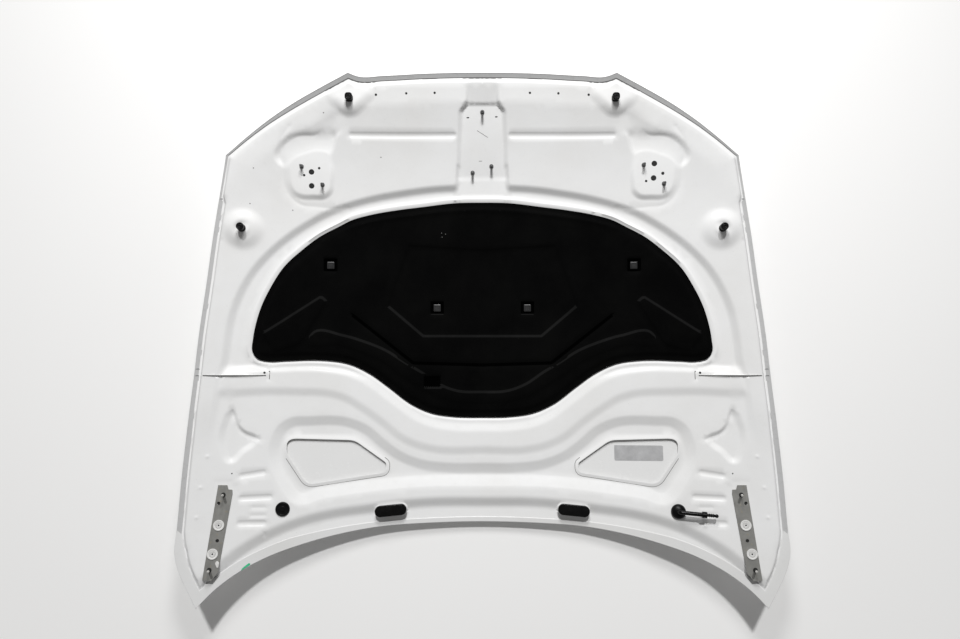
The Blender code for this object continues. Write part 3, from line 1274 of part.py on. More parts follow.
def square_points(half):
    """A square as eight points, two to a side, to match a ring of eight."""
    third = half * math.tan(math.pi / 8)
    return [(half, third), (third, half), (-third, half), (-half, third),
            (-half, -third), (-third, -half), (third, -half), (half, -third)]


def oval_points(half_length, half_width, sides):
    straight = half_length - half_width
    angles = [2 * math.pi * (k + 0.5) / sides for k in range(sides)]
    return [(math.copysign(straight, math.cos(a)) + half_width * math.cos(a), half_width * math.sin(a))
            for a in angles]


def washer_parts():
    for side, sign in SIDES:
        x, y = plan(NOZZLE_SHARES)
        origin, normal = seat_of((x * sign, y), REAR_LEVEL)
        full = oval_points(NOZZLE_HALF_LENGTH, NOZZLE_HALF_WIDTH, ROUND_SIDES)
        top = oval_points(NOZZLE_HALF_LENGTH - NOZZLE_CHAMFER, NOZZLE_HALF_WIDTH - NOZZLE_CHAMFER,
                          ROUND_SIDES)
        layers = [(full, 0.0), (full, NOZZLE_HEIGHT - NOZZLE_CHAMFER), (top, NOZZLE_HEIGHT)]
        stacked("washer_nozzle_" + side, BLACK_PLASTIC, layers, origin + normal * SEAT_GAP, normal,
                -NOZZLE_HEADING * sign)
    origin, normal = seat_of(plan(PLUG_SHARES), REAR_LEVEL)
    inner = PLUG_RADIUS - 2 * PLUG_RIM
    profile = [(PLUG_RADIUS, 0.0), (PLUG_RADIUS, PLUG_RIM), (PLUG_RADIUS - PLUG_RIM, PLUG_HEIGHT),
               (inner, PLUG_HEIGHT), (inner, PLUG_HEIGHT - PLUG_RIM)]
    turned_piece("round_plug", BLACK_RUBBER, profile, ROUND_SIDES, origin + normal * SEAT_GAP, normal)
    elbow_parts()


def elbow_parts():
    """Grommet, the elbow that comes out of it, and the barbed coupling at the elbow's end."""
    origin, normal = seat_of(plan(GROMMET_SHARES), REAR_LEVEL)
    origin = origin + normal * SEAT_GAP
    shoulder = (GROMMET_RADIUS + GROMMET_TOP_RADIUS) / 2
    profile = [(GROMMET_RADIUS, 0.0), (GROMMET_RADIUS, GROMMET_HEIGHT / 3),
               (shoulder + PLUG_RIM, GROMMET_HEIGHT * 2 / 3), (GROMMET_TOP_RADIUS, GROMMET_HEIGHT)]
    turned_piece("hose_grommet", BLACK_RUBBER, profile, ROUND_SIDES, origin, normal)
    foot = GROMMET_HEIGHT + SEAT_GAP
    axis = foot + ELBOW_RISE
    bend = [(0.0, foot), (0.0, axis - ELBOW_RADIUS * 1.3), (ELBOW_RADIUS * 0.4, axis - ELBOW_RADIUS * 0.4),
            (ELBOW_RADIUS * 1.3, axis), (ELBOW_LENGTH, axis)]
    swept("washer_elbow", BLACK_PLASTIC, bend, [ELBOW_RADIUS] * len(bend), SMALL_ROUND_SIDES, origin,
          normal, ELBOW_HEADING)
    start = ELBOW_LENGTH + SEAT_GAP
    neck = start + COUPLING_LENGTH
    tail = neck + COUPLING_TAIL_LENGTH
    barbs = [(start, COUPLING_RADIUS), (neck, COUPLING_RADIUS), (neck + COUPLING_BARB, COUPLING_TAIL_RADIUS)]
    for k in (1, 2, 3):
        at = neck + COUPLING_TAIL_LENGTH * k / 4
        barbs += [(at, COUPLING_TAIL_RADIUS), (at + COUPLING_BARB, COUPLING_TAIL_RADIUS + COUPLING_BARB),
                  (at + 2 * COUPLING_BARB, COUPLING_TAIL_RADIUS)]
    for k in range(BALL_STEPS + 1):
        angle = math.pi * (BALL_NECK_SHARE + (BALL_END_SHARE - BALL_NECK_SHARE) * k / BALL_STEPS)
        barbs.append((tail + COUPLING_BALL_RADIUS * (1 - math.cos(angle)),
                      COUPLING_BALL_RADIUS * math.sin(angle)))
    swept("washer_coupling", BLACK_PLASTIC, [(out, axis) for out, _ in barbs],
          [radius for _, radius in barbs], SMALL_ROUND_SIDES, origin, normal, ELBOW_HEADING)


def build():
    remove_everything()
    forms = Forms(LINE_SPACING, DETAIL_SPACING, EDGE_SPACING)
    outer_skin(forms)
    inner_panel(forms)
    insulation_liner(forms)
    liner_clips()
    buffers()
    latch_parts()
    hinge_parts()
    washer_parts()


build()
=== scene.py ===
"""Looks of the car bonnet: its fine pressed sheets, felt liner, rubber, metal and the view of it.

Metres, +Z up, +Y towards the front edge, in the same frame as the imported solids. Tables of
places are shares: x of HALF_WIDTH, y of HALF_LENGTH, for the side of positive x.
"""

import math

import bpy
import numpy as np
from mathutils import Matrix, Vector
from mathutils.geometry import delaunay_2d_cdt


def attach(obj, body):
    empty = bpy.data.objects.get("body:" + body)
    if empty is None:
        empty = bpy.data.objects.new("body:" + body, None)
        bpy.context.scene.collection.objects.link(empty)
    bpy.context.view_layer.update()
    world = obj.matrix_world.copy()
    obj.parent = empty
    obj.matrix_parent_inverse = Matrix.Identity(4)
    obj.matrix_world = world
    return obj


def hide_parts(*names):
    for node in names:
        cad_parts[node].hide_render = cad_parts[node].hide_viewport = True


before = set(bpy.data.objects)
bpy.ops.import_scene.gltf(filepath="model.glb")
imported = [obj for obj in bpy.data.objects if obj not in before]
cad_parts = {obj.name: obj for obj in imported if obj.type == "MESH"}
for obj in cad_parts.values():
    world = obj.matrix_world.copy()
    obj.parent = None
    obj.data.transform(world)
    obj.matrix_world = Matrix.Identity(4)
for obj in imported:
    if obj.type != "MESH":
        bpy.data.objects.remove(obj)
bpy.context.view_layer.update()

# Overall size
HALF_WIDTH = 0.755
HALF_LENGTH = 0.674

SIDES = (("right", 1), ("left", -1))

# Crown of the outer skin, as the radii of its curves and where the tighter ones begin
CROWN_RADIUS_REAR = 6.0
CROWN_RADIUS_FRONT = 4.5
CROWN_RADIUS_ACROSS = 4.2
NOSE_CURL_RADIUS = 1.3
NOSE_CURL_START_SHARE = 0.445
SIDE_ROLL_RADIUS = 1.43
SIDE_ROLL_START_SHARE = 0.69
REST_FLAT_DEPTH = 0.0006
REST_FLAT_RADIUS = 0.060

# Sheets, hem and seats
SKIN_SHEET = 0.001
PANEL_SHEET = 0.001
SEAT_GAP = 0.0003
HEM_WIDTH = 0.0125
REAR_HEM_WIDTH = 0.024
HEM_CHANGE_START_SHARE = -0.727
HEM_CHANGE_END_SHARE = -0.80
HEM_NOSE = 0.0009
HEM_CLEARANCE = 0.0003

# Pressed levels of the inner panel's top face, above the outer face of the skin
PLATEAU_LEVEL = 0.020
FRONT_STRIP_DROP = 0.007
REAR_LEVEL = 0.015
VALLEY_LEVEL = 0.010
RIM_LEVEL = 0.015
TRAY_LEVEL = 0.0105
TRAY_HOLLOW_LEVEL = 0.0075
TROUGH_LEVEL = 0.006
OPENING_LIP_LEVEL = 0.0082
CORNER_POCKET_LEVEL = 0.009
CENTRE_PAD_LEVEL = 0.0125
SIDE_PAD_LEVEL = 0.024
SIDE_DIP_LEVEL = 0.012
PAD_LEAN_SHARE = 0.8
PAD_PITCH = 0.03
BUFFER_LEAN_SHARE = 0.3
BUFFER_PITCH = 0.08
FRONT_BOSS_LEVEL = 0.022
SIDE_BOSS_HEIGHT = 0.010
BEAD_DEPTH = 0.003
HINGE_PAD_LEVEL = 0.0155

# Widths of the pressed walls, in plan
EDGE_WALL = 0.011
EDGE_WALL_OFFSET = 0.0066
FRONT_STRIP_WIDTH = 0.047
RING_WALL = 0.020
RIM_WALL = 0.008
RIM_MARGIN = 0.013
TRAY_WALL = 0.004
TRAY_MARGIN = 0.004
TRAY_LEDGE = 0.034
TRAY_HOLLOW_WALL = 0.012
CROSSMEMBER_FRONT_WALL = 0.026
CROSSMEMBER_REAR_WALL = 0.025
TROUGH_FRONT_WALL = 0.026
TROUGH_REAR_WALL = 0.032
REAR_WALL = 0.032
PAD_WALL = 0.015
DIP_REACH = 0.040
BOSS_WALL = 0.028
BEAD_WALL = 0.006
OPENING_LIP_MARGIN = 0.0056
OPENING_LIP_WALL = 0.0036
POCKET_WALL = 0.018
LEVEL_CHANGE_START_SHARE = -0.24
LEVEL_CHANGE_END_SHARE = -0.44
VALLEY_END_START_SHARE = -0.135
VALLEY_END_SHARE = -0.175
STRIP_FADE_START_SHARE = 0.55
STRIP_FADE_END_SHARE = 0.75

# Outline of the bonnet, from the rear centre round by the tip, side and nose to the front centre
REAR_EDGE_SHARES = [(0, -0.715), (0.192, -0.720), (0.338, -0.730), (0.515, -0.764),
                    (0.619, -0.795), (0.708, -0.829), (0.818, -0.892), (0.879, -0.944), (0.927, -1.0)]
SIDE_EDGE_SHARES = [(0.927, -1.0), (0.958, -0.932), (0.985, -0.866), (1.0, -0.80), (0.997, -0.72),
                    (0.992, -0.54), (0.981, -0.33), (0.969, -0.16), (0.958, 0.0), (0.939, 0.19),
                    (0.917, 0.40), (0.898, 0.54), (0.875, 0.683)]
DIAGONAL_EDGE_SHARES = [(0.875, 0.683), (0.805, 0.754), (0.738, 0.814), (0.659, 0.873),
                        (0.552, 0.939), (0.457, 0.992)]
FRONT_EDGE_SHARES = [(0.457, 0.992), (0.425, 0.981), (0.34, 0.985), (0.20, 0.995), (0, 1.0)]

# Pressed lines of the inner panel
REAR_WALL_SHARES = [(0, -0.640), (0.193, -0.642), (0.389, -0.664), (0.516, -0.682), (0.62, -0.710),
                    (0.703, -0.745), (0.80, -0.806), (0.90, -0.90), (1.0, -1.0)]
RING_SHARES = [(0, 0.578), (0.173, 0.572), (0.27, 0.557), (0.37, 0.536), (0.45, 0.512),
               (0.53, 0.478), (0.60, 0.434), (0.665, 0.383), (0.727, 0.322), (0.785, 0.244),
               (0.827, 0.155), (0.850, 0.078), (0.862, -0.003), (0.873, -0.12), (0.887, -0.20),
               (0.896, -0.30), (0.90, -0.42), (0.84, -0.53), (0.5, -0.55), (0, -0.55)]
LINER_SHARES = [(0, 0.523), (0.09, 0.521), (0.208, 0.505), (0.30, 0.491), (0.393, 0.471),
                (0.458, 0.449), (0.50, 0.424), (0.564, 0.384), (0.625, 0.330), (0.685, 0.264),
                (0.73, 0.181), (0.757, 0.114), (0.774, 0.049), (0.784, -0.02), (0.785, -0.064),
                (0.768, -0.092), (0.735, -0.102), (0.676, -0.100), (0.542, -0.098), (0.464, -0.111),
                (0.389, -0.150), (0.33, -0.197), (0.24, -0.271), (0.181, -0.300), (0.091, -0.316),
                (0, -0.318)]
CROSSMEMBER_FRONT_SHARES = [(0, -0.356), (0.091, -0.355), (0.174, -0.340), (0.233, -0.312),
                            (0.278, -0.276), (0.330, -0.232), (0.388, -0.184), (0.464, -0.143),
                            (0.542, -0.127), (0.709, -0.127), (0.84, -0.135)]
CROSSMEMBER_REAR_SHARES = [(0, -0.443), (0.156, -0.441), (0.223, -0.424), (0.283, -0.392),
                           (0.342, -0.339), (0.415, -0.281), (0.473, -0.243), (0.531, -0.225),
                           (0.631, -0.219), (0.737, -0.217), (0.83, -0.222)]
TROUGH_FRONT_SHARES = [(0, -0.511), (0.122, -0.510), (0.208, -0.498), (0.284, -0.466),
                       (0.342, -0.420), (0.401, -0.365), (0.453, -0.340), (0.594, -0.331),
                       (0.652, -0.336), (0.685, -0.362), (0.702, -0.405)]
TROUGH_REAR_SHARES = [(0.702, -0.405), (0.708, -0.455), (0.671, -0.555), (0.616, -0.622),
                      (0.554, -0.604), (0.448, -0.586), (0.340, -0.572), (0.231, -0.562), (0, -0.559)]
OPENING_SHARES = [(0.440, -0.4054), (0.667, -0.3962), (0.666, -0.4522), (0.595, -0.5698),
                  (0.331, -0.5275), (0.330, -0.4924)]
OPENING_CORNERS = [0.015, 0.027, 0.008, 0.019, 0.012, 0.006]
CORNER_POCKET_SHARES = [(0.845, -0.298), (0.833, -0.338), (0.806, -0.372), (0.768, -0.396),
                        (0.806, -0.440), (0.845, -0.476), (0.868, -0.428), (0.866, -0.338)]
CENTRE_PAD_SHARES = [(0, 0.890), (0.056, 0.890), (0.075, 0.862), (0.081, 0.74), (0.084, 0.618),
                     (0, 0.618)]
CHANNEL_SHARES = [(0, 0.66), (0.084, 0.66), (0.091, 0.56), (0.091, 0.50), (0, 0.50)]
CENTRE_PAD_CENTRE_SHARES = (0, 0.745)
SIDE_PAD_SHARES = [(0.666, 0.608), (0.661, 0.571), (0.649, 0.548), (0.630, 0.536), (0.585, 0.533),
                   (0.542, 0.539), (0.526, 0.557), (0.521, 0.589), (0.521, 0.660), (0.530, 0.695),
                   (0.560, 0.705), (0.612, 0.692), (0.646, 0.674), (0.664, 0.650)]
SIDE_DIP_SHARES = [(0.707, 0.681), (0.699, 0.712), (0.674, 0.746), (0.643, 0.767), (0.610, 0.775),
                   (0.583, 0.776), (0.556, 0.800), (0.534, 0.835), (0.507, 0.852), (0.487, 0.848),
                   (0.490, 0.810), (0.504, 0.765), (0.517, 0.717), (0.560, 0.640), (0.670, 0.640)]
FRONT_BOSS_SHARES = [(0.517, 0.904), (0.488, 0.874), (0.463, 0.853), (0.443, 0.853), (0.420, 0.871),
                     (0.398, 0.894), (0.378, 0.925), (0.395, 0.950), (0.445, 0.958), (0.495, 0.935)]
SIDE_BOSS_CENTRE_SHARES = (0.818, 0.404)
SIDE_BOSS_RADIUS = 0.058
SIDE_BOSS_TOP_RADIUS = 0.020
SIDE_PAD_CENTRE_SHARES = (0.592, 0.615)
HINGE_PAD_CENTRE_SHARES = (0.872, -0.730)
GROOVE_SHARES = ((0.100, 0.775), (0.451, 0.770))
REAR_BEAD_SHARES = [((0.737, -0.521), (0.806, -0.532)), ((0.713, -0.612), (0.804, -0.614)),
                    ((0.729, -0.707), (0.805, -0.705))]

# Slits and holes through the panel
SLIT_START_SHARES = (0.737, -0.157)
SLIT_END_SHARES = (0.935, -0.157)
SLIT_WIDTH = 0.0025
SLIT_HOLE_SHARES = (0.742, -0.146)
SLIT_HOLE_RADIUS = 0.003
FRONT_HOLE_SHARES = [(0.163, 0.924), (0.260, 0.921), (0.363, 0.914)]
FRONT_HOLE_RADIUS = 0.003
LATCH_HOLE_RADIUS = 0.0072
LATCH_HOLE_SHARES = {
    "right": [((0.593, 0.660), 1.0), ((0.591, 0.605), 1.0), ((0.622, 0.622), 0.58), ((0.566, 0.594), 0.45)],
    "left": [((0.589, 0.628), 1.0), ((0.589, 0.575), 1.0), ((0.614, 0.615), 0.45), ((0.563, 0.643), 0.45)]}
HINGE_END_HOLE_SHARES = (0.897, -0.914)
HINGE_END_HOLE_RADIUS = 0.0035

# Hinge plate with its discs, holes and studs
HINGE_PLATE_SHARES = [(0.875, -0.562), (0.846, -0.563), (0.842, -0.579), (0.830, -0.580),
                      (0.829, -0.595), (0.864, -0.876), (0.884, -0.904), (0.911, -0.900)]
HINGE_DISC_SHARES = [(0.868, -0.707), (0.882, -0.808)]
HINGE_HOLE_SHARES = [(0.871, -0.628), (0.870, -0.762)]
HINGE_STUD_SHARES = [(0.859, -0.598), (0.889, -0.863)]
HINGE_PLATE_SHEET = 0.0025
HINGE_PAD_MARGIN = 0.011
HINGE_HOLE_RADIUS = 0.0042
HINGE_DISC_RADIUS = 0.0130
HINGE_DISC_THICKNESS = 0.0020
HINGE_DISC_RIM = 0.003
HINGE_DISC_STEP = 0.0006
HINGE_DISC_DIMPLE = 0.0018
DISC_RING_SHARES = ((0.72, 0.70), (0.48, 0.46))
DISC_LOW_SHARE = 0.26
DISC_GROOVE_SHARES = ((0.71, 0.035), (0.47, 0.03))
DISC_DARK_SHARE = 1.15
DISC_ROUNDING = 0.0003

# Studs
STUD_RADIUS = 0.0032
STUD_COLLAR_RADIUS = 0.0055
STUD_COLLAR_THICKNESS = 0.0015
STUD_CHAMFER = 0.0010
STUD_POINT_SHARES = ((0.8, 0.4), (1.5, 0.0))
HINGE_STUD_LENGTH = 0.026
LATCH_STUD_LENGTH = 0.021
LATCH_STUD_SHARES = {"right": [(0.557, 0.656), (0.626, 0.583)], "left": [(0.622, 0.648), (0.552, 0.580)]}
CENTRE_LATCH_STUD_SHARES = [(0.0, 0.862), (-0.034, 0.640), (0.032, 0.664)]

# Rubber buffers
FRONT_BUFFER_SHARES = (0.452, 0.897)
FRONT_BUFFER_RADIUS = 0.0092
FRONT_BUFFER_HEIGHT = 0.018
SIDE_BUFFER_SHARES = SIDE_BOSS_CENTRE_SHARES
SIDE_BUFFER_RADIUS = 0.0098
SIDE_BUFFER_HEIGHT = 0.022
BUFFER_SEAT_RADIUS = 0.014
BUFFER_FOOT_HEIGHT = 0.004
BUFFER_WAIST = 0.0014
BUFFER_RIM = 0.0030
BUFFER_DISH = 0.0025
BUFFER_DISH_SLOPE = 0.0004
BUFFER_DISH_SHARES = ((0.42, 0.5), (0.40, 0.2), (0.24, 0.2), (0.20, 1.0))
BUFFER_ROUNDING = 0.0009

# Washer nozzles, plug, grommet and elbow
NOZZLE_SHARES = (0.311, -0.668)
NOZZLE_HALF_LENGTH = 0.0405
NOZZLE_HALF_WIDTH = 0.0142
NOZZLE_HEIGHT = 0.009
NOZZLE_CHAMFER = 0.002
NOZZLE_HEADING = 0.09
NOZZLE_SEAT_MARGIN = 0.002
NOZZLE_SEAT_WALL = 0.004
PLUG_SHARES = (-0.670, -0.657)
PLUG_RADIUS = 0.0180
PLUG_HEIGHT = 0.005
PLUG_RIM = 0.002
PLUG_SEAT_MARGIN = 0.003
PLUG_ROUNDING = 0.0008
PLUG_DIP_SHARES = ((0.45, 1.0), (0.40, 0.6))
GROMMET_SHARES = (0.658, -0.666)
GROMMET_RADIUS = 0.0185
GROMMET_HEIGHT = 0.013
GROMMET_TOP_RADIUS = 0.009
GROMMET_ROUNDING = 0.002
ELBOW_RADIUS = 0.0052
ELBOW_RISE = 0.008
ELBOW_LENGTH = 0.054
ELBOW_TURN_SHARE = 1.3
ELBOW_HEADING = -0.082
COUPLING_RADIUS = 0.0078
COUPLING_LENGTH = 0.012
COUPLING_EDGE = 0.0006
COUPLING_TAIL_RADIUS = 0.0037
COUPLING_TAIL_LENGTH = 0.019
COUPLING_BARB = 0.0012
COUPLING_BALL_RADIUS = 0.0046
BALL_NECK_SHARE = 0.25
BALL_END_SHARE = 0.90
BALL_STEPS = 10

# Moulded insulation liner
LINER_SEAT_GAP = 0.0005
LINER_EDGE_THICKNESS = 0.0045
LINER_THICKNESS = 0.0110
LINER_RAISED_THICKNESS = 0.0145
LINER_EDGE_WIDTH = 0.016
LINER_EDGE_WALL = 0.014
LINER_PRESS_DEPTH = 0.003
LINER_WALL = 0.0055
LINER_FIELD_SHARES = [(0, 0.335), (0.256, 0.352), (0.330, 0.115), (0.206, -0.003), (0, -0.003)]
LINER_BAND_SHARES = [(0, -0.262), (0.101, -0.256), (0.157, -0.237), (0.226, -0.192), (0.285, -0.152),
                     (0.347, -0.102), (0.423, -0.066), (0.491, -0.040), (0.599, -0.025),
                     (0.585, 0.005), (0.48, -0.002), (0.41, -0.025), (0.33, -0.062), (0.27, -0.105),
                     (0.21, -0.145), (0.15, -0.190), (0.09, -0.215), (0, -0.220)]
LINER_FIN_SHARES = [(0.7505, 0.0041), (0.5577, 0.1487), (0.5386, 0.1300), (0.6270, -0.0360),
                    (0.7068, -0.0643)]
CLIP_SHARES = [(0.527, 0.271), (0.158, 0.107)]
CLIP_RECESS = 0.030
CLIP_RECESS_WALL = 0.0035
CLIP_HEAD = 0.019
CLIP_HEIGHT = 0.0045
CLIP_CHAMFER = 0.0012
CLIP_STEM_RADIUS = 0.0032
CLIP_HOLE_RADIUS = 0.0052
CLIP_STEM_LENGTH = 0.012
CLIP_STEM_SIDES = 32
CLIP_CORNER = 0.002
CLIP_BEVEL_SHARE = 0.3
CLIP_DIP_SHARE = 0.62
CLIP_DIP_CORNER = 0.0015
CLIP_DIP_SLOPE = 0.0006
CLIP_DIP = 0.0008

# Spacing of the fine meshes
DENSE_STEPS = 12
HOLE_SIDES = 20
ROUND_SIDES = 48
SMALL_ROUND_SIDES = 36
STUD_SIDES = 20
SWEPT_SIDES = 24
MARK_SIDES = 12
DIMPLE_SIDES = 14
SEAT_SIDES = 24
DOME_SIDES = 40
SHEET_SMOOTH = 60.0
HEM_SMOOTH = 50.0
ROUND_SMOOTH = 40.0
EDGE_SMOOTH = 30.0
MERGE_DISTANCE = 1e-6
CORNER_REACH_LIMIT = 0.49
PROFILE_REACH_LIMIT = 0.45
MITRE_LIMIT = 0.4
RING_CLEAR_SHARE = 0.97
SMALL_AREA = 1e-18
FINE_LINE = 0.008
FINE_DETAIL = 0.005
FINE_EDGE = 0.008
CLOUD_GAP = 0.0027
PANEL_FIELD = 0.0115
PANEL_UNDER_LINER = 0.030
FIELD_CLEARANCE = 0.0068
LINER_FIELD = 0.0055
SKIN_FIELD = 0.026
WALL_LINES = 7
WALL_SPREAD = 0.62

# Small forms of the pressed panel, as shares like the tables above
SHORT_BEAD_SHARES = [((0.729, -0.650), (0.767, -0.649)), ((0.728, -0.679), (0.769, -0.678))]
SHORT_BEAD_DEPTH = 0.0012
SHORT_BEAD_WALL = 0.0036
DIMPLE_SHARES = [(0.913, -0.457), (0.929, -0.569), (0.936, -0.676)]
DIMPLE_RADIUS = 0.0085
DIMPLE_HEIGHT = 0.0016
DIMPLE_STRETCH = 1.4
DIMPLE_CENTRE = 0.0001
DIMPLE_RING_SHARES = (0.35, 0.7, 1.0)
PAD_STEP_SHARES = [(0.660, 0.795), (0.690, 0.745), (0.698, 0.700), (0.688, 0.655), (0.680, 0.571),
                   (0.661, 0.532), (0.627, 0.504), (0.580, 0.498), (0.509, 0.494), (0.470, 0.500)]
PAD_STEP_DEPTH = 0.0009
PAD_STEP_WALL = 0.0042
EAR_SHARES = [(0, 0.975), (0.052, 0.975), (0.053, 0.870), (0, 0.870)]
EAR_LEVEL = 0.0118
NECK_START_SHARE = 0.762
NECK_REACH_SHARE = 0.035
NECK_WALL = 0.045
NECK_RISE = 0.005
EAR_WALL = 0.011
PAD_FRONT_WALL = 0.0065
PAD_FRONT_START_SHARE = 0.850
PAD_FRONT_REACH_SHARE = 0.030
HEM_TAPER_START_SHARE = 0.60
HEM_TAPER = 0.55
SLIT_TICK_SHARES = [(0.731, -0.135), (0.727, -0.152), (0.731, -0.170)]
SLIT_TICK_DEPTH = 0.0012
SLIT_TICK_WALL = 0.0028
POCKET_EDGE_SHARES = [(0.843, -0.292), (0.835, -0.324), (0.819, -0.360), (0.759, -0.397)]
POCKET_EDGE_DEPTH = 0.0030
POCKET_EDGE_WALL = 0.0048
NICK_SHARES = [(0.728, -0.756), (0.725, -0.748), (0.728, -0.740)]
NICK_WALL_SHARE = 0.7
SMALL_MARK_SHARES = [(-0.542, 0.846), (-0.782, 0.636), (-0.796, 0.502), (-0.655, 0.482),
                     (-0.352, 0.690)]
SMALL_MARK_RADIUS = 0.0015
PAD_SLOT_SHARES = [(0.0485, 0.845), (-0.050, 0.842)]
PAD_SLOT_HALF_LENGTH = 0.0034
PAD_SLOT_HALF_WIDTH = 0.0014
SCRATCH_SHARES = [((-0.018, 0.795), (0.019, 0.770)), ((-0.012, 0.683), (-0.001, 0.683))]
SCRATCH_WIDTH = 0.0011
HEM_LINE_WIDTH = 0.0018
HEM_CORNER_SHARE = (0.875, 0.683)
HEM_GREY_END_SHARE = -0.727
HEM_TICK_SHARES = [0.519, -0.132, -0.157]
HEM_NOSE_SHADE_START = 0.42
HEM_NOSE_SHADE_END = 0.62
HEM_BEVEL = 0.0006
HEM_BEVEL_DROP = 0.0004
HEM_FACE_SHARE = 0.72
TICK_WIDTH = 0.0022
BLOTCH_SHARES = (0.866, -0.845)
BLOTCH_WIDTH = 0.0042
BLOTCH_LENGTH = 0.0080
BLOTCH_LOBES = 3
BLOTCH_LOBE_SHARE = 0.18
BLOTCH_TOP_SHARE = 0.7
BLOTCH_HEADING = 0.12
BUFFER_SQUARENESS = 0.13
PLATE_HOLES = {"plate_hole_": ((0.836, -0.522), 0.0017, 12), "tip_hole_": ((0.878, -0.8955), 0.0031, 16)}
CREASE_OFFSET = 0.0088
CREASE_WIDTH = 0.0016
CREASE_START_SHARE = -0.470
BRACKET_LINES = [((0.7255, -0.1400), (0.7255, -0.1708)), ((0.7255, -0.1405), (0.7292, -0.1405))]
BRACKET_WIDTH = 0.0020
STUD_TIP_SHARE = 0.80
LEDGE_TILT = 0.27
RIM_CLEAR = 0.022
RECESS_SHADE = 0.0172
RECESS_LOW_EDGE = 0.0150
EMPTY_SHADE_DEPTH = 0.0014
BAND_REAR_WALL = 0.013
SHEET_RIPPLE = 0.00018
SHEET_RIPPLE_SCALE = 42.0
SHEET_RIPPLE_SEED = 0.4
SPECK_LIFT = 0.0008
WALL_BEND = 0.22

# Small forms of the liner
LINER_BEAD_SHARES = [(0.562, 0.364), (0.470, 0.418), (0.391, 0.445), (0.288, 0.466), (0.148, 0.487),
                     (0, 0.496)]
LINER_DIAGONAL_SHARES = [(0.451, 0.078), (0.240, -0.108), (0, -0.116)]
LINER_LINE_HEIGHT = 0.0024
LINER_LINE_WALL = 0.0055
LINER_GROOVE_SHADE = 0.0036
LINER_GROOVE_CLEAR = 0.012
LINER_FIN_CORNERS = [0.006, 0.005, 0.004, 0.012, 0.010]
LINER_SPECK_SHARES = [(-0.1427, 0.4009), (-0.1409, 0.3852), (-0.1287, 0.397)]
LINER_SPECK_RADIUS = 0.0010
LINER_EMPTY_RECESS_SHARES = [(-0.205, -0.155), (-0.143, -0.155), (-0.143, -0.203), (-0.205, -0.203)]
LINER_EMPTY_RECESS_DEPTH = 0.003
LINER_EDGE_START = 0.002
LINER_RIPPLE = 0.0009
LINER_RIPPLE_SCALE = 34.0
LINER_RIPPLE_SEED = 1.1
LEDGE_FORWARD_SHARE = 0.45

# Threads and edges of small pieces
THREAD_PITCH = 0.00125
THREAD_DEPTH = 0.00028
EDGE_ROUNDING = 0.0004
LABEL_SHARES = [(0.455, -0.425), (0.619, -0.425), (0.619, -0.483), (0.455, -0.483)]
LABEL_THICKNESS = 0.0003
LABEL_LIFT = 0.0002
GREEN_MARK_SHARES = [(-0.798, -0.877), (-0.794, -0.868), (-0.773, -0.850), (-0.767, -0.856)]
GREEN_MARK_LIFT = 0.00012

# Thin marks, and the waves that make a sheet uneven
HOLE_MARK_SHARE = 0.98
HOLE_MARK_THICKNESS = 0.0004
HOLE_MARK_DEPTH_SHARE = 0.8
GREEN_MARK_THICKNESS = 0.0001
PATCH_FIELD = 0.008
MARK_STEP = 0.0008
WAVE_COUNT = 6
WAVE_TURN = 2.399963
WAVE_GROWTH = 0.37
WAVE_PHASE = 1.7

# Spread of the points laid beside narrow lines and small seats
BEAD_FLAT = 1.5
BEAD_LINES = 7
BEAD_REACH = 1.6
BEAD_FAN_REACHES = (0.5, 1.0, 1.6)
BEAD_FAN_ANGLE = 1.3
BEAD_STEP_SHARE = 0.6
EDGE_SPREAD = 0.6
CORNER_CLEAR_SHARE = 0.9
HOLE_RING_GAP = 0.003
STUD_RINGS = [0.004, 0.008]
DOME_RING_STEP = 0.0065
DOME_RING_MARGIN = 0.006
RING_LINES_SHARE = 2.3

# Floor, light and camera
FLOOR_DROP = 0.0006
FLOOR_SIZE = 60.0
FLOOR_COLOUR = (0.930, 0.926, 0.918)
FLOOR_GLOW = 0.04
SKY_COLOUR = (1.0, 0.998, 0.995)
SKY_STRENGTH = 0.175
SUN_STRENGTH = 1.80
SUN_ELEVATION = 49.0
SUN_HEADING = 0.0
SUN_ANGLE = 4.0
FILL_PLACE = (0.0, 1.90, 1.7)
FILL_TARGET = (0.0, 0.50, 0.1)
FILL_SIZE = 0.7
FILL_POWER = 35.0
CAMERA_PLACE = (0.0, -0.0989, 1.8628)
CAMERA_TILT = 0.0698
CAMERA_LENS = 26.25
CAMERA_SHIFT = (-0.0024, 0.0047)
CAMERA_SENSOR = 36.0
CAMERA_REACH = 100.0

# Values that follow from those above
HEM_STACK = 2 * SKIN_SHEET + PANEL_SHEET + 2 * SEAT_GAP
HEM_INNER_WALL = SKIN_SHEET + HEM_NOSE / 3


# Looks

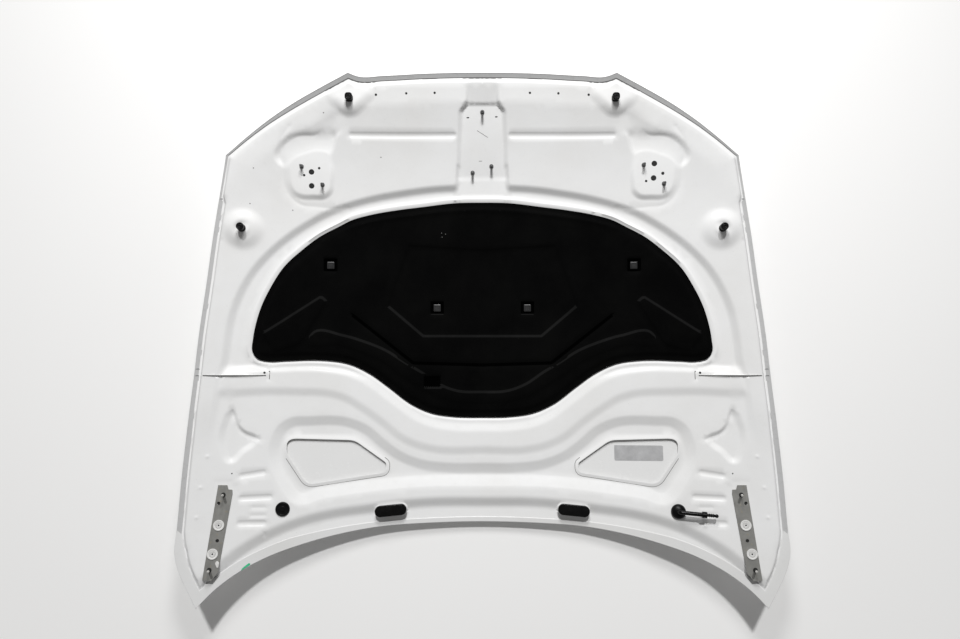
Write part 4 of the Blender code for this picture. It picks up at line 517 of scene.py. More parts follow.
class Look:
    """A material in the making: its nodes, its shader and the object's own coordinates."""

    def __init__(self, name, gloss=0.5):
        self.made = bpy.data.materials.new(name)
        self.made.use_nodes = True
        self.nodes = self.made.node_tree.nodes
        self.links = self.made.node_tree.links
        self.shader = self.nodes["Principled BSDF"]
        self.place = self.nodes.new("ShaderNodeTexCoord").outputs["Object"]
        self.set("Specular IOR Level", gloss)

    def set(self, name, value):
        """One input of the shader, from a plain value or from a node's output."""
        if isinstance(value, bpy.types.NodeSocket):
            self.links.new(value, self.shader.inputs[name])
        else:
            self.shader.inputs[name].default_value = value

    def noise(self, scale, detail, roughness=0.55, stretch=(1.0, 1.0, 1.0)):
        """The value of a noise at a scale, over the object's own coordinates."""
        turn = self.nodes.new("ShaderNodeMapping")
        turn.inputs["Scale"].default_value = stretch
        self.links.new(self.place, turn.inputs["Vector"])
        made = self.nodes.new("ShaderNodeTexNoise")
        made.inputs["Scale"].default_value = scale
        made.inputs["Detail"].default_value = detail
        made.inputs["Roughness"].default_value = roughness
        self.links.new(turn.outputs["Vector"], made.inputs["Vector"])
        return made.outputs["Fac"]

    def between(self, value, low, high, to_low, to_high):
        """The value moved from one range to another, held at its ends."""
        made = self.nodes.new("ShaderNodeMapRange")
        for name, end in (("From Min", low), ("From Max", high), ("To Min", to_low), ("To Max", to_high)):
            made.inputs[name].default_value = end
        self.links.new(value, made.inputs["Value"])
        return made.outputs["Result"]

    def patched(self, first, second, value, low, high, most=1.0):
        """The first colour, turned to the second up to a share as the value rises through a range.

        The first may be a colour or a node's output.
        """
        made = self.nodes.new("ShaderNodeMix")
        made.data_type = "RGBA"
        self.links.new(self.between(value, low, high, 0.0, most), made.inputs["Factor"])
        if isinstance(first, tuple):
            made.inputs[6].default_value = (*first, 1.0)
        else:
            self.links.new(first, made.inputs[6])
        made.inputs[7].default_value = (*second, 1.0)
        return made.outputs[2]

    def bumped(self, value, distance, strength):
        """Fine relief from a value, on top of the relief already there."""
        made = self.nodes.new("ShaderNodeBump")
        made.inputs["Distance"].default_value = distance
        made.inputs["Strength"].default_value = strength
        self.links.new(value, made.inputs["Height"])
        before = self.shader.inputs["Normal"].links
        if before:
            self.links.new(before[0].from_socket, made.inputs["Normal"])
        self.links.new(made.outputs["Normal"], self.shader.inputs["Normal"])


def scaled(colour, shares):
    """A colour times one share, or times a share for each channel."""
    if not isinstance(shares, tuple):
        shares = (shares,) * 3
    return tuple(channel * share for channel, share in zip(colour, shares))


def paint(name, colour, dull, coat, grime, gloss=0.5):
    """White car paint: faint grime in patches and specks, and a fine uneven gloss."""
    look = Look(name, gloss)
    broad = look.noise(5.0, 6.0, 0.6)
    fine = look.noise(60.0, 5.0, 0.6)
    specks = look.noise(420.0, 2.0, 0.5)
    tinted = look.patched(colour, scaled(colour, (0.80, 0.775, 0.735)), broad, 0.44, 0.72, grime)
    tinted = look.patched(tinted, scaled(colour, (0.84, 0.83, 0.81)), fine, 0.58, 0.76, grime * 0.8)
    look.set("Base Color", look.patched(tinted, (0.30, 0.285, 0.26), specks, 0.735, 0.78, 0.45))
    look.set("Roughness", look.between(fine, 0.3, 0.7, dull - 0.06, dull + 0.08))
    look.set("Coat Weight", coat)
    look.set("Coat Roughness", 0.12)
    look.bumped(look.noise(900.0, 2.0), 0.00004, 0.5)
    look.bumped(look.noise(14.0, 2.0), 0.0009, 0.6)
    return look.made


def hem_shade_paint(name, side_colour, front_colour):
    """Painted shade on the folded edge: grey for the shade of the tilted hem, darker along the nose, with
    short rubbed streaks.
    """
    look = Look(name)
    apart = look.nodes.new("ShaderNodeSeparateXYZ")
    look.links.new(look.place, apart.inputs["Vector"])
    streaks = look.noise(90.0, 5.0, 0.65)
    tinted = look.patched(side_colour, front_colour, apart.outputs["Y"], HEM_NOSE_SHADE_START, HEM_NOSE_SHADE_END)
    look.set("Base Color", look.patched(tinted, (0.30, 0.30, 0.295), streaks, 0.52, 0.72, 0.35))
    look.set("Roughness", look.between(streaks, 0.3, 0.7, 0.34, 0.52))
    look.bumped(look.noise(700.0, 2.0), 0.00006, 0.5)
    return look.made


def felt(name, dark, light, gloss):
    """Compressed felt: cloudy, with crossing fibres."""
    look = Look(name, gloss)
    cloud = look.noise(9.0, 5.0, 0.65)
    fibre = look.noise(900.0, 4.0, 0.7, (1.0, 0.45, 1.0))
    cross = look.noise(700.0, 4.0, 0.7, (0.4, 1.0, 1.0))
    tinted = look.patched(dark, light, cloud, 0.35, 0.7)
    look.set("Base Color", look.patched(tinted, scaled(light, 3), fibre, 0.60, 0.78, 0.45))
    look.set("Roughness", look.between(cross, 0.3, 0.7, 0.86, 1.0))
    look.set("Sheen Weight", 0.004)
    look.set("Sheen Roughness", 0.5)
    look.bumped(fibre, 0.0004, 0.7)
    look.bumped(cross, 0.0004, 0.6)
    return look.made


def moulded(name, colour, dull, grain, dust, gloss=0.5):
    """Rubber or plastic with a fine grain and a little pale dust."""
    look = Look(name, gloss)
    patches = look.noise(70.0, 5.0, 0.6)
    pale = tuple(min(channel + 0.10, 0.9) for channel in colour)
    look.set("Base Color", look.patched(colour, pale, patches, 0.5, 0.8, dust))
    look.set("Roughness", look.between(patches, 0.3, 0.7, dull - 0.08, dull + 0.10))
    look.bumped(look.noise(grain, 3.0, 0.6), 0.00012, 0.6)
    return look.made


def metal(name, colour, dull, metallic, grain, stretch, stain):
    """Bare or plated metal with brushed grain, mottling and small stains."""
    look = Look(name)
    mottle = look.noise(38.0, 6.0, 0.65)
    brushed = look.noise(grain, 3.0, 0.6, stretch)
    tinted = look.patched(scaled(colour, 0.88), scaled(colour, 1.10), mottle, 0.38, 0.70)
    look.set("Base Color", look.patched(tinted, stain, look.noise(120.0, 3.0, 0.5), 0.62, 0.74, 0.7))
    look.set("Metallic", metallic)
    look.set("Roughness", look.between(brushed, 0.3, 0.7, dull - 0.08, dull + 0.10))
    look.bumped(brushed, 0.00005, 0.5)
    return look.made


def flat_colour(name, colour, dull):
    look = Look(name)
    look.set("Base Color", look.patched(colour, scaled(colour, 0.8), look.noise(260.0, 4.0, 0.6), 0.4, 0.7))
    look.set("Roughness", dull)
    return look.made


def floor_material():
    """Pale floor with a faint glow of its own, so that it stays white in the soft light."""
    look = Look("floor", 0.1)
    dim = scaled(FLOOR_COLOUR, 0.985)
    look.set("Base Color", look.patched(FLOOR_COLOUR, dim, look.noise(0.6, 2.0, 0.5), 0.3, 0.7))
    look.set("Roughness", 0.9)
    look.set("Emission Color", (*FLOOR_COLOUR, 1.0))
    look.set("Emission Strength", FLOOR_GLOW)
    return look.made


SKIN_LOOK = paint("skin_white", (0.815, 0.815, 0.810), 0.22, 0.6, 0.10)
# The grey of the nose and side hem is painted shade of the tilted folded edge, not a paint colour.
HEM_SHADE_LOOK = hem_shade_paint("hem_painted_shade", (0.49, 0.49, 0.49), (0.46, 0.46, 0.46))
# Dark lines along both edges of the nose hem are painted shade of the gaps there; the same look draws the
# short seams across the hem.
HEM_SEAM_AND_SHADE_LOOK = hem_shade_paint("hem_seam_and_shade", (0.16, 0.16, 0.16), (0.13, 0.13, 0.13))
PANEL_LOOK = paint("panel_white", (0.815, 0.815, 0.812), 0.52, 0.02, 0.20, 0.26)
FELT_LOOK = felt("liner_felt", (0.0008, 0.0008, 0.00085), (0.0022, 0.0022, 0.0021), 0.05)
# Lighter felt for ledges that face the light: partly dust, partly painted sheen.
DUST_AND_SHEEN_FELT_LOOK = felt("liner_felt_dust_and_sheen", (0.0048, 0.0048, 0.0048), (0.0090, 0.0089, 0.0088), 0.10)
RUBBER_LOOK = moulded("black_rubber", (0.0030, 0.0030, 0.0031), 0.36, 1600.0, 0.012, 0.16)
PLASTIC_LOOK = moulded("black_plastic", (0.0026, 0.0026, 0.0027), 0.26, 1100.0, 0.010, 0.20)
CLIP_LOOK = moulded("clip_black", (0.0110, 0.0110, 0.0112), 0.40, 900.0, 0.06, 0.5)
PALE_LOOK = moulded("disc_white", (0.74, 0.735, 0.72), 0.52, 900.0, 0.05)
PLATE_LOOK = metal("plate_metal", (0.285, 0.282, 0.266), 0.46, 0.35, 240.0, (1.0, 0.12, 1.0),
                   (0.34, 0.30, 0.22))
# Near-black felt painted into the clip recesses, the diagonal groove and the empty recess as shade.
RECESS_SHADE_FELT_LOOK = felt("liner_felt_recess_shade", (0.0002, 0.0002, 0.0002), (0.0004, 0.0004, 0.0004), 0.01)
REAR_HEM_LOOK = paint("hem_white", (0.735, 0.735, 0.73), 0.40, 0.10, 0.25)
# Hinge studs: a near-black body of painted shade and a pale tip of painted highlight.
SHADED_STUD_LOOK = metal("stud_body_shade", (0.020, 0.020, 0.019), 0.50, 0.2, 500.0, (1.0, 1.0, 0.2),
                       (0.05, 0.045, 0.04))
LIT_TIP_LOOK = metal("stud_tip_highlight", (0.62, 0.61, 0.58), 0.35, 0.5, 500.0, (1.0, 1.0, 0.2),
                      (0.40, 0.38, 0.34))
# Grey of painted shade for the crease round the openings.
CREASE_SHADE_LOOK = flat_colour("crease_painted_shade", (0.30, 0.298, 0.292), 0.7)
# Grey of painted shade for the grooves of the discs' pressed rings.
DISC_GROOVE_SHADE_LOOK = flat_colour("disc_groove_shade", (0.30, 0.295, 0.285), 0.6)
STUD_LOOK = metal("stud_zinc", (0.15, 0.15, 0.15), 0.34, 0.5, 500.0, (1.0, 1.0, 0.2),
                  (0.09, 0.085, 0.08))
STEEL_LOOK = metal("reinforcement_grey", (0.40, 0.40, 0.41), 0.40, 0.9, 300.0, (0.15, 1.0, 1.0),
                   (0.22, 0.20, 0.18))
LABEL_LOOK = metal("label_silver", (0.47, 0.47, 0.475), 0.45, 0.1, 500.0, (1.0, 0.1, 1.0),
                   (0.38, 0.38, 0.38))
CHIP_LOOK = flat_colour("bare_chip", (0.17, 0.165, 0.16), 0.7)
GREEN_LOOK = flat_colour("green_mark", (0.035, 0.50, 0.24), 0.7)
BLOTCH_LOOK = flat_colour("white_sealer", (0.74, 0.73, 0.71), 0.65)
# Near-black discs and ovals of painted shade, put in and under holes and slots.
HOLE_SHADE_LOOK = flat_colour("hole_painted_shade", (0.010, 0.010, 0.010), 0.8)


# Pieces

def shown(name, corners, polygons, look, nodes, smooth=SHEET_SMOOTH):
    """A fine piece that stands for CAD nodes and rides with the part."""
    mesh = bpy.data.meshes.new(name)
    mesh.from_pydata([tuple(c) for c in corners], [], polygons)
    mesh.validate()
    mesh.shade_smooth()
    mesh.set_sharp_from_angle(angle=math.radians(smooth))
    made = bpy.data.objects.new(name, mesh)
    mesh.materials.append(look)
    bpy.context.collection.objects.link(made)
    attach(made, "root")
    if nodes:
        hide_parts(*nodes)
    return made


def with_looks(made, looks, choices):
    """More looks for a piece, and the number of the look that each of its faces takes."""
    for look in looks:
        made.data.materials.append(look)
    for face, choice in zip(made.data.polygons, choices):
        face.material_index = int(choice)


# Curves in plan

def plan(share):
    return (share[0] * HALF_WIDTH, share[1] * HALF_LENGTH)


def plan_list(shares):
    return [plan(share) for share in shares]


def other_side(points):
    """The same points mirrored to the other side, in the opposite order."""
    return [(-x, y) for x, y in reversed(points)]


def both_halves(half):
    """A closed run of points from a half that starts and ends on the centre line."""
    return half + other_side(half[1:-1])


def flowing(points, spacing, closed=False):
    """Points an even distance apart on a smooth curve through the given ones."""
    given = np.array(points, dtype=float)
    count = len(given)
    spans = count if closed else count - 1
    dense = []
    for i in range(spans):
        p1, p2 = given[i], given[(i + 1) % count]
        p0 = given[i - 1] if closed or i > 0 else 2 * p1 - p2
        p3 = given[(i + 2) % count] if closed or i + 2 < count else 2 * p2 - p1
        reach = np.linalg.norm(p2 - p1)
        m1 = tangent_at(p0, p1, p2) * reach
        m2 = tangent_at(p1, p2, p3) * reach
        for k in range(DENSE_STEPS):
            t = k / DENSE_STEPS
            dense.append((2 * t**3 - 3 * t**2 + 1) * p1 + (t**3 - 2 * t**2 + t) * m1
                         + (3 * t**2 - 2 * t**3) * p2 + (t**3 - t**2) * m2)
    dense.append(given[0] if closed else given[-1])
    return evenly_spaced(np.array(dense), spacing, closed)


def with_round_corners(points, reaches, spacing):
    """A closed line of straight sides, with each corner rounded over its own reach."""
    count = len(points)
    curve = []
    for k in range(count):
        here = np.array(points[k])
        ends = []
        for other in (np.array(points[k - 1]), np.array(points[(k + 1) % count])):
            length = np.linalg.norm(other - here)
            ends.append(here + (other - here) / length * min(reaches[k], length * CORNER_REACH_LIMIT))
        for t in np.linspace(0.0, 1.0, DENSE_STEPS):
            curve.append(ends[0] * (1 - t) ** 2 + here * 2 * t * (1 - t) + ends[1] * t**2)
    curve.append(curve[0])
    return evenly_spaced(np.array(curve), spacing, True)


def tangent_at(before, here, after):
    """Unit direction at a point, weighted to its nearer neighbour."""
    back, ahead = here - before, after - here
    back_length, ahead_length = np.linalg.norm(back), np.linalg.norm(ahead)
    direction = back / back_length * ahead_length + ahead / ahead_length * back_length
    return direction / np.linalg.norm(direction)


def evenly_spaced(dense, spacing, closed):
    steps = np.linalg.norm(np.diff(dense, axis=0), axis=1)
    run = np.concatenate([[0.0], np.cumsum(steps)])
    count = max(2, int(round(run[-1] / spacing)))
    places = np.linspace(0.0, run[-1], count + 1)
    even = np.column_stack([np.interp(places, run, dense[:, 0]), np.interp(places, run, dense[:, 1])])
    return even[:-1] if closed else even


def shifted(line, distance, closed):
    """A line moved sideways by a distance, to the left of its direction, with mitred corners."""
    line = np.asarray(line, dtype=float)
    if closed:
        ahead = np.roll(line, -1, axis=0) - line
        back = line - np.roll(line, 1, axis=0)
    else:
        ahead = np.vstack([line[1:] - line[:-1], line[-1:] - line[-2:-1]])
        back = np.vstack([ahead[:1], line[1:] - line[:-1]])
    ahead = ahead / np.linalg.norm(ahead, axis=1)[:, None]
    back = back / np.linalg.norm(back, axis=1)[:, None]
    left_ahead = np.column_stack([-ahead[:, 1], ahead[:, 0]])
    left_back = np.column_stack([-back[:, 1], back[:, 0]])
    middle = left_ahead + left_back
    middle = middle / np.linalg.norm(middle, axis=1)[:, None]
    reach = 1.0 / np.maximum((middle * left_ahead).sum(axis=1), MITRE_LIMIT)
    return line + middle * (np.asarray(distance) * reach)[:, None]


def distance_to(points, line, closed):
    """Distance of each point from a line of straight pieces."""
    starts = np.asarray(line, dtype=float)
    ends = np.roll(starts, -1, axis=0)
    if not closed:
        starts, ends = starts[:-1], ends[:-1]
    nearest = np.full(len(points), np.inf)
    for start, end in zip(starts, ends):
        along = end - start
        length_squared = max(float(along @ along), SMALL_AREA)
        t = np.clip((points - start) @ along / length_squared, 0.0, 1.0)
        gap = points - (start + t[:, None] * along)
        nearest = np.minimum(nearest, np.hypot(gap[:, 0], gap[:, 1]))
    return nearest


def is_inside(points, loop):
    inside = np.zeros(len(points), dtype=bool)
    starts = np.asarray(loop, dtype=float)
    ends = np.roll(starts, -1, axis=0)
    x, y = points[:, 0], points[:, 1]
    for (x1, y1), (x2, y2) in zip(starts, ends):
        if y1 == y2:
            continue
        crosses = ((y1 > y) != (y2 > y)) & (x < (x2 - x1) * (y - y1) / (y2 - y1) + x1)
        inside ^= crosses
    return inside


def depth_in(points, loop):
    """Distance inside a closed line, negative outside it."""
    away = distance_to(points, loop, True)
    return np.where(is_inside(points, loop), away, -away)


def ramp(value):
    """Straight rise from 0 to 1."""
    return np.clip(value, 0.0, 1.0)


def ease(value):
    """Rise from 0 to 1 with flat ends."""
    t = np.clip(value, 0.0, 1.0)
    return t * t * (3 - 2 * t)


def pressed_rise(value):
    """Rise from 0 to 1 with an even slope and a short bend at both ends."""
    t = np.clip(value, 0.0, 1.0)
    near = np.minimum(t, 1 - t)
    low = np.where(near < WALL_BEND, near**2 / (2 * WALL_BEND), near - WALL_BEND / 2) / (1 - WALL_BEND)
    return np.where(t < 0.5, low, 1 - low)


def wall(depth, width):
    """Share of a pressed level at a depth inside its line, across a wall centred on it."""
    return pressed_rise(depth / width + 0.5)


# Outline and pressed lines

def outline_loop(spacing):
    """The bonnet's outline, the whole way round, left turns first from the left tip."""
    rear_right = plan_list(REAR_EDGE_SHARES)
    rear = other_side(rear_right)[:-1] + rear_right
    front_right = plan_list(FRONT_EDGE_SHARES)
    front = front_right + other_side(front_right)[1:]
    side = plan_list(SIDE_EDGE_SHARES)
    diagonal = plan_list(DIAGONAL_EDGE_SHARES)
    runs = [rear, side, diagonal, front, other_side(diagonal), other_side(side)]
    return np.vstack([flowing(run, spacing)[:-1] for run in runs])


def hem_widths(loop):
    change = (loop[:, 1] / HALF_LENGTH - HEM_CHANGE_START_SHARE)
    change = change / (HEM_CHANGE_END_SHARE - HEM_CHANGE_START_SHARE)
    rear = ramp(change)
    out = np.abs(loop[:, 0]) / HALF_WIDTH
    corner = ease((out - HEM_TAPER_START_SHARE) / (HEM_CORNER_SHARE[0] - HEM_TAPER_START_SHARE))
    corner = corner * (loop[:, 1] > HEM_TICK_SHARES[0] * HALF_LENGTH)
    return (HEM_WIDTH + (REAR_HEM_WIDTH - HEM_WIDTH) * rear) * (1 - HEM_TAPER * corner)


def closed_half(shares, spacing):
    return flowing(both_halves(plan_list(shares)), spacing, closed=True)


def across(shares, spacing):
    """An open line right across the bonnet, from a table that starts on the centre line."""
    right = plan_list(shares)
    return flowing(other_side(right)[:-1] + right, spacing)


def trough_loop(spacing):
    front = plan_list(TROUGH_FRONT_SHARES)
    rear = plan_list(TROUGH_REAR_SHARES)
    return flowing(both_halves(front + rear[1:]), spacing, closed=True)


def region_behind(line):
    """Closed region from an open line across the bonnet towards the rear."""
    reach = 2 * HALF_LENGTH
    far = 2 * HALF_WIDTH
    last, first = line[-1], line[0]
    return np.vstack([line, [[far, last[1]], [far, -reach], [-far, -reach], [-far, first[1]]]])


class Forms:
    """The closed lines that the pressed levels follow, sampled once at a given spacing."""

    def __init__(self, spacing, detail_spacing, edge_spacing):
        self.outline = outline_loop(edge_spacing)
        self.hem_line = shifted(self.outline, hem_widths(self.outline), True)
        self.rear_wall = across(REAR_WALL_SHARES, spacing)
        self.ring = closed_half(RING_SHARES, spacing)
        self.liner = closed_half(LINER_SHARES, spacing)
        self.crossmember_front = across(CROSSMEMBER_FRONT_SHARES, spacing)
        self.crossmember_rear = across(CROSSMEMBER_REAR_SHARES, spacing)
        self.trough = trough_loop(spacing)
        self.opening = with_round_corners(plan_list(OPENING_SHARES), OPENING_CORNERS, detail_spacing)
        self.pocket = flowing(plan_list(CORNER_POCKET_SHARES), detail_spacing, closed=True)
        self.centre_pad = np.array(both_halves(plan_list(CENTRE_PAD_SHARES)))
        self.channel = np.array(both_halves(plan_list(CHANNEL_SHARES)))
        self.side_pad = flowing(plan_list(SIDE_PAD_SHARES), detail_spacing, closed=True)
        self.side_dip = flowing(plan_list(SIDE_DIP_SHARES), detail_spacing, closed=True)
        self.front_boss = flowing(plan_list(FRONT_BOSS_SHARES), detail_spacing, closed=True)
        self.band = closed_half(LINER_BAND_SHARES, spacing)
        self.field = np.array(both_halves(plan_list(LINER_FIELD_SHARES)))
        self.fin = with_round_corners(plan_list(LINER_FIN_SHARES), LINER_FIN_CORNERS, detail_spacing)


# Surfaces

def skin_height(points):
    """Height of the skin's outer face, which is the lower one here."""
    points = np.atleast_2d(points)
    x, y = np.abs(points[:, 0]), points[:, 1]
    crown_radius = np.where(y < 0, CROWN_RADIUS_REAR, CROWN_RADIUS_FRONT)
    height = y**2 / (2 * crown_radius) + x**2 / (2 * CROWN_RADIUS_ACROSS)
    nose = np.maximum(y - NOSE_CURL_START_SHARE * HALF_LENGTH, 0)
    roll = np.maximum(x - SIDE_ROLL_START_SHARE * HALF_WIDTH, 0)
    height = height + nose**2 / (2 * NOSE_CURL_RADIUS) + roll**2 / (2 * SIDE_ROLL_RADIUS)
    return np.maximum(height - REST_FLAT_DEPTH, 0)


def skin_slope(x, y):
    step = HEM_WIDTH
    around = skin_height(np.array([[x + step, y], [x - step, y], [x, y + step], [x, y - step]]))
    return (around[0] - around[1]) / (2 * step), (around[2] - around[3]) / (2 * step)


class Pad:
    """A flat seat: a plane through a level at one place, used over a region.

    A lean of 1 follows the skin's slope there and 0 is level. A pitch tips it towards the front.
    """

    def __init__(self, place, level, lean=1.0, pitch=0.0):
        self.x, self.y = place
        self.height = float(skin_height([place])[0]) + level
        slope_x, slope_y = skin_slope(*place)
        self.slope_x = slope_x * lean
        self.slope_y = slope_y * lean - pitch

    def plane(self, points):
        return (self.height + (points[:, 0] - self.x) * self.slope_x
                + (points[:, 1] - self.y) * self.slope_y)

    def normal(self):
        return Vector((-self.slope_x, -self.slope_y, 1.0)).normalized()

    def point(self, x, y):
        return Vector((x, y, float(self.plane(np.array([[x, y]]))[0])))


def side_pad():
    return Pad(plan(SIDE_PAD_CENTRE_SHARES), SIDE_PAD_LEVEL, PAD_LEAN_SHARE, PAD_PITCH)


def centre_pad():
    return Pad(plan(CENTRE_PAD_CENTRE_SHARES), CENTRE_PAD_LEVEL)


def hinge_pad():
    return Pad(plan(HINGE_PAD_CENTRE_SHARES), HINGE_PAD_LEVEL)


def front_buffer_pad():
    return Pad(plan(FRONT_BUFFER_SHARES), FRONT_BOSS_LEVEL, BUFFER_LEAN_SHARE, BUFFER_PITCH)


def side_buffer_pad():
    level = PLATEAU_LEVEL + SIDE_BOSS_HEIGHT
    return Pad(plan(SIDE_BUFFER_SHARES), level, BUFFER_LEAN_SHARE, BUFFER_PITCH)


def seats():
    """Small flat seats on the right side, each a pad and its radius."""
    grommet = Pad(plan(GROMMET_SHARES), REAR_LEVEL)
    return [(side_buffer_pad(), BUFFER_SEAT_RADIUS), (grommet, GROMMET_RADIUS + PLUG_SEAT_MARGIN)]


def nozzle_axis(inset):
    """The middle line of the right nozzle, shorter by an inset at both ends."""
    centre = np.array(plan(NOZZLE_SHARES))
    along = np.array([math.cos(NOZZLE_HEADING), -math.sin(NOZZLE_HEADING)])
    half = NOZZLE_HALF_LENGTH - inset
    return np.array([centre - along * half, centre + along * half])


def with_nozzle_seat(height, folded):
    """Height with a flat oval boss under each nozzle, which stands across the rear wall."""
    inset = NOZZLE_HALF_WIDTH
    away = distance_to(folded, nozzle_axis(inset), False)
    share = ramp(1 - (away - NOZZLE_HALF_WIDTH + NOZZLE_SEAT_MARGIN) / NOZZLE_SEAT_WALL)
    return mixed(height, Pad(plan(NOZZLE_SHARES), REAR_LEVEL).plane(folded), share)


def bead_depth(points, start, end):
    """Share of a bead's depth at each point, full along the line between its ends."""
    line = np.array([start, end])
    return ramp(BEAD_FLAT - distance_to(points, line, False) / BEAD_WALL)


def panel_top(points, forms):
    """Height of the inner panel's upper face, the one that the underside shows."""
    points = np.atleast_2d(points).astype(float)
    folded = folded_over(points)
    y_share = points[:, 1] / HALF_LENGTH
    skin = skin_height(points)
    behind_hem = depth_in(points, forms.hem_line)

    flange = SKIN_SHEET + SEAT_GAP + PANEL_SHEET
    change = (y_share - LEVEL_CHANGE_START_SHARE) / (LEVEL_CHANGE_END_SHARE - LEVEL_CHANGE_START_SHARE)
    plateau = PLATEAU_LEVEL + (REAR_LEVEL - PLATEAU_LEVEL) * ease(change)
    nose = ease((y_share - STRIP_FADE_START_SHARE) / (STRIP_FADE_END_SHARE - STRIP_FADE_START_SHARE))
    strip = 1 - ramp((behind_hem - EDGE_WALL_OFFSET - EDGE_WALL / 2) / FRONT_STRIP_WIDTH)
    level = plateau - FRONT_STRIP_DROP * nose * strip

    valley_end = (y_share - VALLEY_END_START_SHARE) / (VALLEY_END_SHARE - VALLEY_END_START_SHARE)
    valley = VALLEY_LEVEL + (REAR_LEVEL - VALLEY_LEVEL) * ease(valley_end)
    level = mixed(level, valley, wall(depth_in(points, forms.ring), RING_WALL))
    ear = wall(depth_in(points, np.array(both_halves(plan_list(EAR_SHARES)))), EAR_WALL)
    level = mixed(level, np.minimum(level, EAR_LEVEL), ear)
    level = mixed(level, VALLEY_LEVEL, wall(depth_in(points, forms.channel), PAD_WALL))
    in_liner = depth_in(points, forms.liner)
    rim = wall(in_liner + RIM_MARGIN, RIM_WALL)
    level = mixed(level, RIM_LEVEL, rim)

    front_side = wall(depth_in(points, region_behind(forms.crossmember_front)), CROSSMEMBER_FRONT_WALL)
    rear_side = 1 - wall(depth_in(points, region_behind(forms.crossmember_rear)), CROSSMEMBER_REAR_WALL)
    in_ring = wall(depth_in(points, forms.ring), RING_WALL)
    level = mixed(level, PLATEAU_LEVEL, front_side * rear_side * in_ring)
    level = mixed(level, TRAY_LEVEL, wall(in_liner + TRAY_MARGIN, TRAY_WALL))
    level = mixed(level, TRAY_HOLLOW_LEVEL, wall(in_liner - TRAY_LEDGE, TRAY_HOLLOW_WALL))

    trough_depth = depth_in(points, forms.trough)
    middle_share = (TROUGH_FRONT_SHARES[0][1] + TROUGH_REAR_SHARES[-1][1]) / 2
    toward_rear = ease((middle_share - y_share) / (middle_share - REAR_WALL_SHARES[0][1]) + 0.5)
    trough_wall = TROUGH_FRONT_WALL + (TROUGH_REAR_WALL - TROUGH_FRONT_WALL) * toward_rear
    level = mixed(level, TROUGH_LEVEL, ramp(trough_depth / trough_wall + 0.5))
    lip = wall(depth_in(folded, forms.opening) + OPENING_LIP_MARGIN, OPENING_LIP_WALL)
    level = mixed(level, OPENING_LIP_LEVEL, lip)
    level = mixed(level, CORNER_POCKET_LEVEL, wall(depth_in(folded, forms.pocket), POCKET_WALL))
    boss_place = np.array(plan(SIDE_BOSS_CENTRE_SHARES))
    from_boss = np.hypot(folded[:, 0] - boss_place[0], folded[:, 1] - boss_place[1])
    dome = ease((SIDE_BOSS_RADIUS - from_boss) / (SIDE_BOSS_RADIUS - SIDE_BOSS_TOP_RADIUS))
    level = level + SIDE_BOSS_HEIGHT * dome
    for start, end in REAR_BEAD_SHARES + [GROOVE_SHARES]:
        level = level - BEAD_DEPTH * bead_depth(folded, plan(start), plan(end))

    height = skin + level
    pad = side_pad()
    in_pad = depth_in(folded, forms.side_pad)
    neck = ease((y_share - NECK_START_SHARE) / NECK_REACH_SHARE)
    dip = skin + SIDE_DIP_LEVEL + NECK_RISE * neck
    dip = mixed(dip, pad.plane(folded), np.exp(np.minimum(in_pad, 0) / DIP_REACH))
    height = mixed(height, dip, wall(depth_in(folded, forms.side_dip), mixed(PAD_WALL, NECK_WALL, neck)))
    height = mixed(height, pad.plane(folded), wall(in_pad, PAD_WALL))
    in_boss = wall(depth_in(folded, forms.front_boss), BOSS_WALL)
    height = mixed(height, front_buffer_pad().plane(folded), in_boss)
    near_front = ease((y_share - PAD_FRONT_START_SHARE) / PAD_FRONT_REACH_SHARE)
    in_centre_pad = wall(depth_in(points, forms.centre_pad), mixed(PAD_WALL, PAD_FRONT_WALL, near_front))
    height = mixed(height, centre_pad().plane(folded), in_centre_pad)
    in_hinge_pad = wall(depth_in(folded, hinge_plate_loop(HINGE_PAD_MARGIN)), EDGE_WALL)
    height = mixed(height, hinge_pad().plane(folded), in_hinge_pad)
    height = with_seats(height, folded, seats())
    edge = wall(behind_hem - EDGE_WALL_OFFSET, EDGE_WALL)
    rear = 1 - wall(depth_in(points, region_behind(forms.rear_wall)), REAR_WALL)
    return with_nozzle_seat(mixed(skin + flange, height, np.minimum(edge, rear)), folded)


def mixed(low, high, share):
    return low * (1 - share) + high * share


def with_seats(height, folded, places):
    for pad, radius in places:
        away = np.hypot(folded[:, 0] - pad.x, folded[:, 1] - pad.y)
        height = mixed(height, pad.plane(folded), ramp(1 - (away - radius) / BEAD_WALL))
    return height


def liner_thickness(points, forms):
    folded = folded_over(points)
    depth = depth_in(points, forms.liner)
    full = wall(depth - LINER_EDGE_WIDTH, LINER_EDGE_WALL)
    thick = mixed(LINER_EDGE_THICKNESS, LINER_THICKNESS, full)
    rearward = ease(0.5 - points[:, 1] / BAND_REAR_WALL)
    band_wall = mixed(LINER_WALL, BAND_REAR_WALL, rearward)
    thick = mixed(thick, LINER_RAISED_THICKNESS, wall(depth_in(points, forms.band), band_wall))
    thick = mixed(thick, LINER_RAISED_THICKNESS, wall(depth_in(folded, forms.fin), LINER_WALL))
    pressed = LINER_THICKNESS - LINER_PRESS_DEPTH
    thick = mixed(thick, pressed, wall(depth_in(points, forms.field), LINER_WALL))
    for place in plan_list(CLIP_SHARES):
        off = np.maximum(np.abs(folded[:, 0] - place[0]), np.abs(folded[:, 1] - place[1]))
        recess = ramp((CLIP_RECESS / 2 + CLIP_RECESS_WALL - off) / CLIP_RECESS_WALL)
        thick = mixed(thick, LINER_EDGE_THICKNESS, recess)
    return thick


# Plan shapes of small pieces

def ring_points(place, radius, sides):
    angles = [2 * math.pi * (k + 0.5) / sides for k in range(sides)]
    return [(place[0] + radius * math.cos(a), place[1] + radius * math.sin(a)) for a in angles]


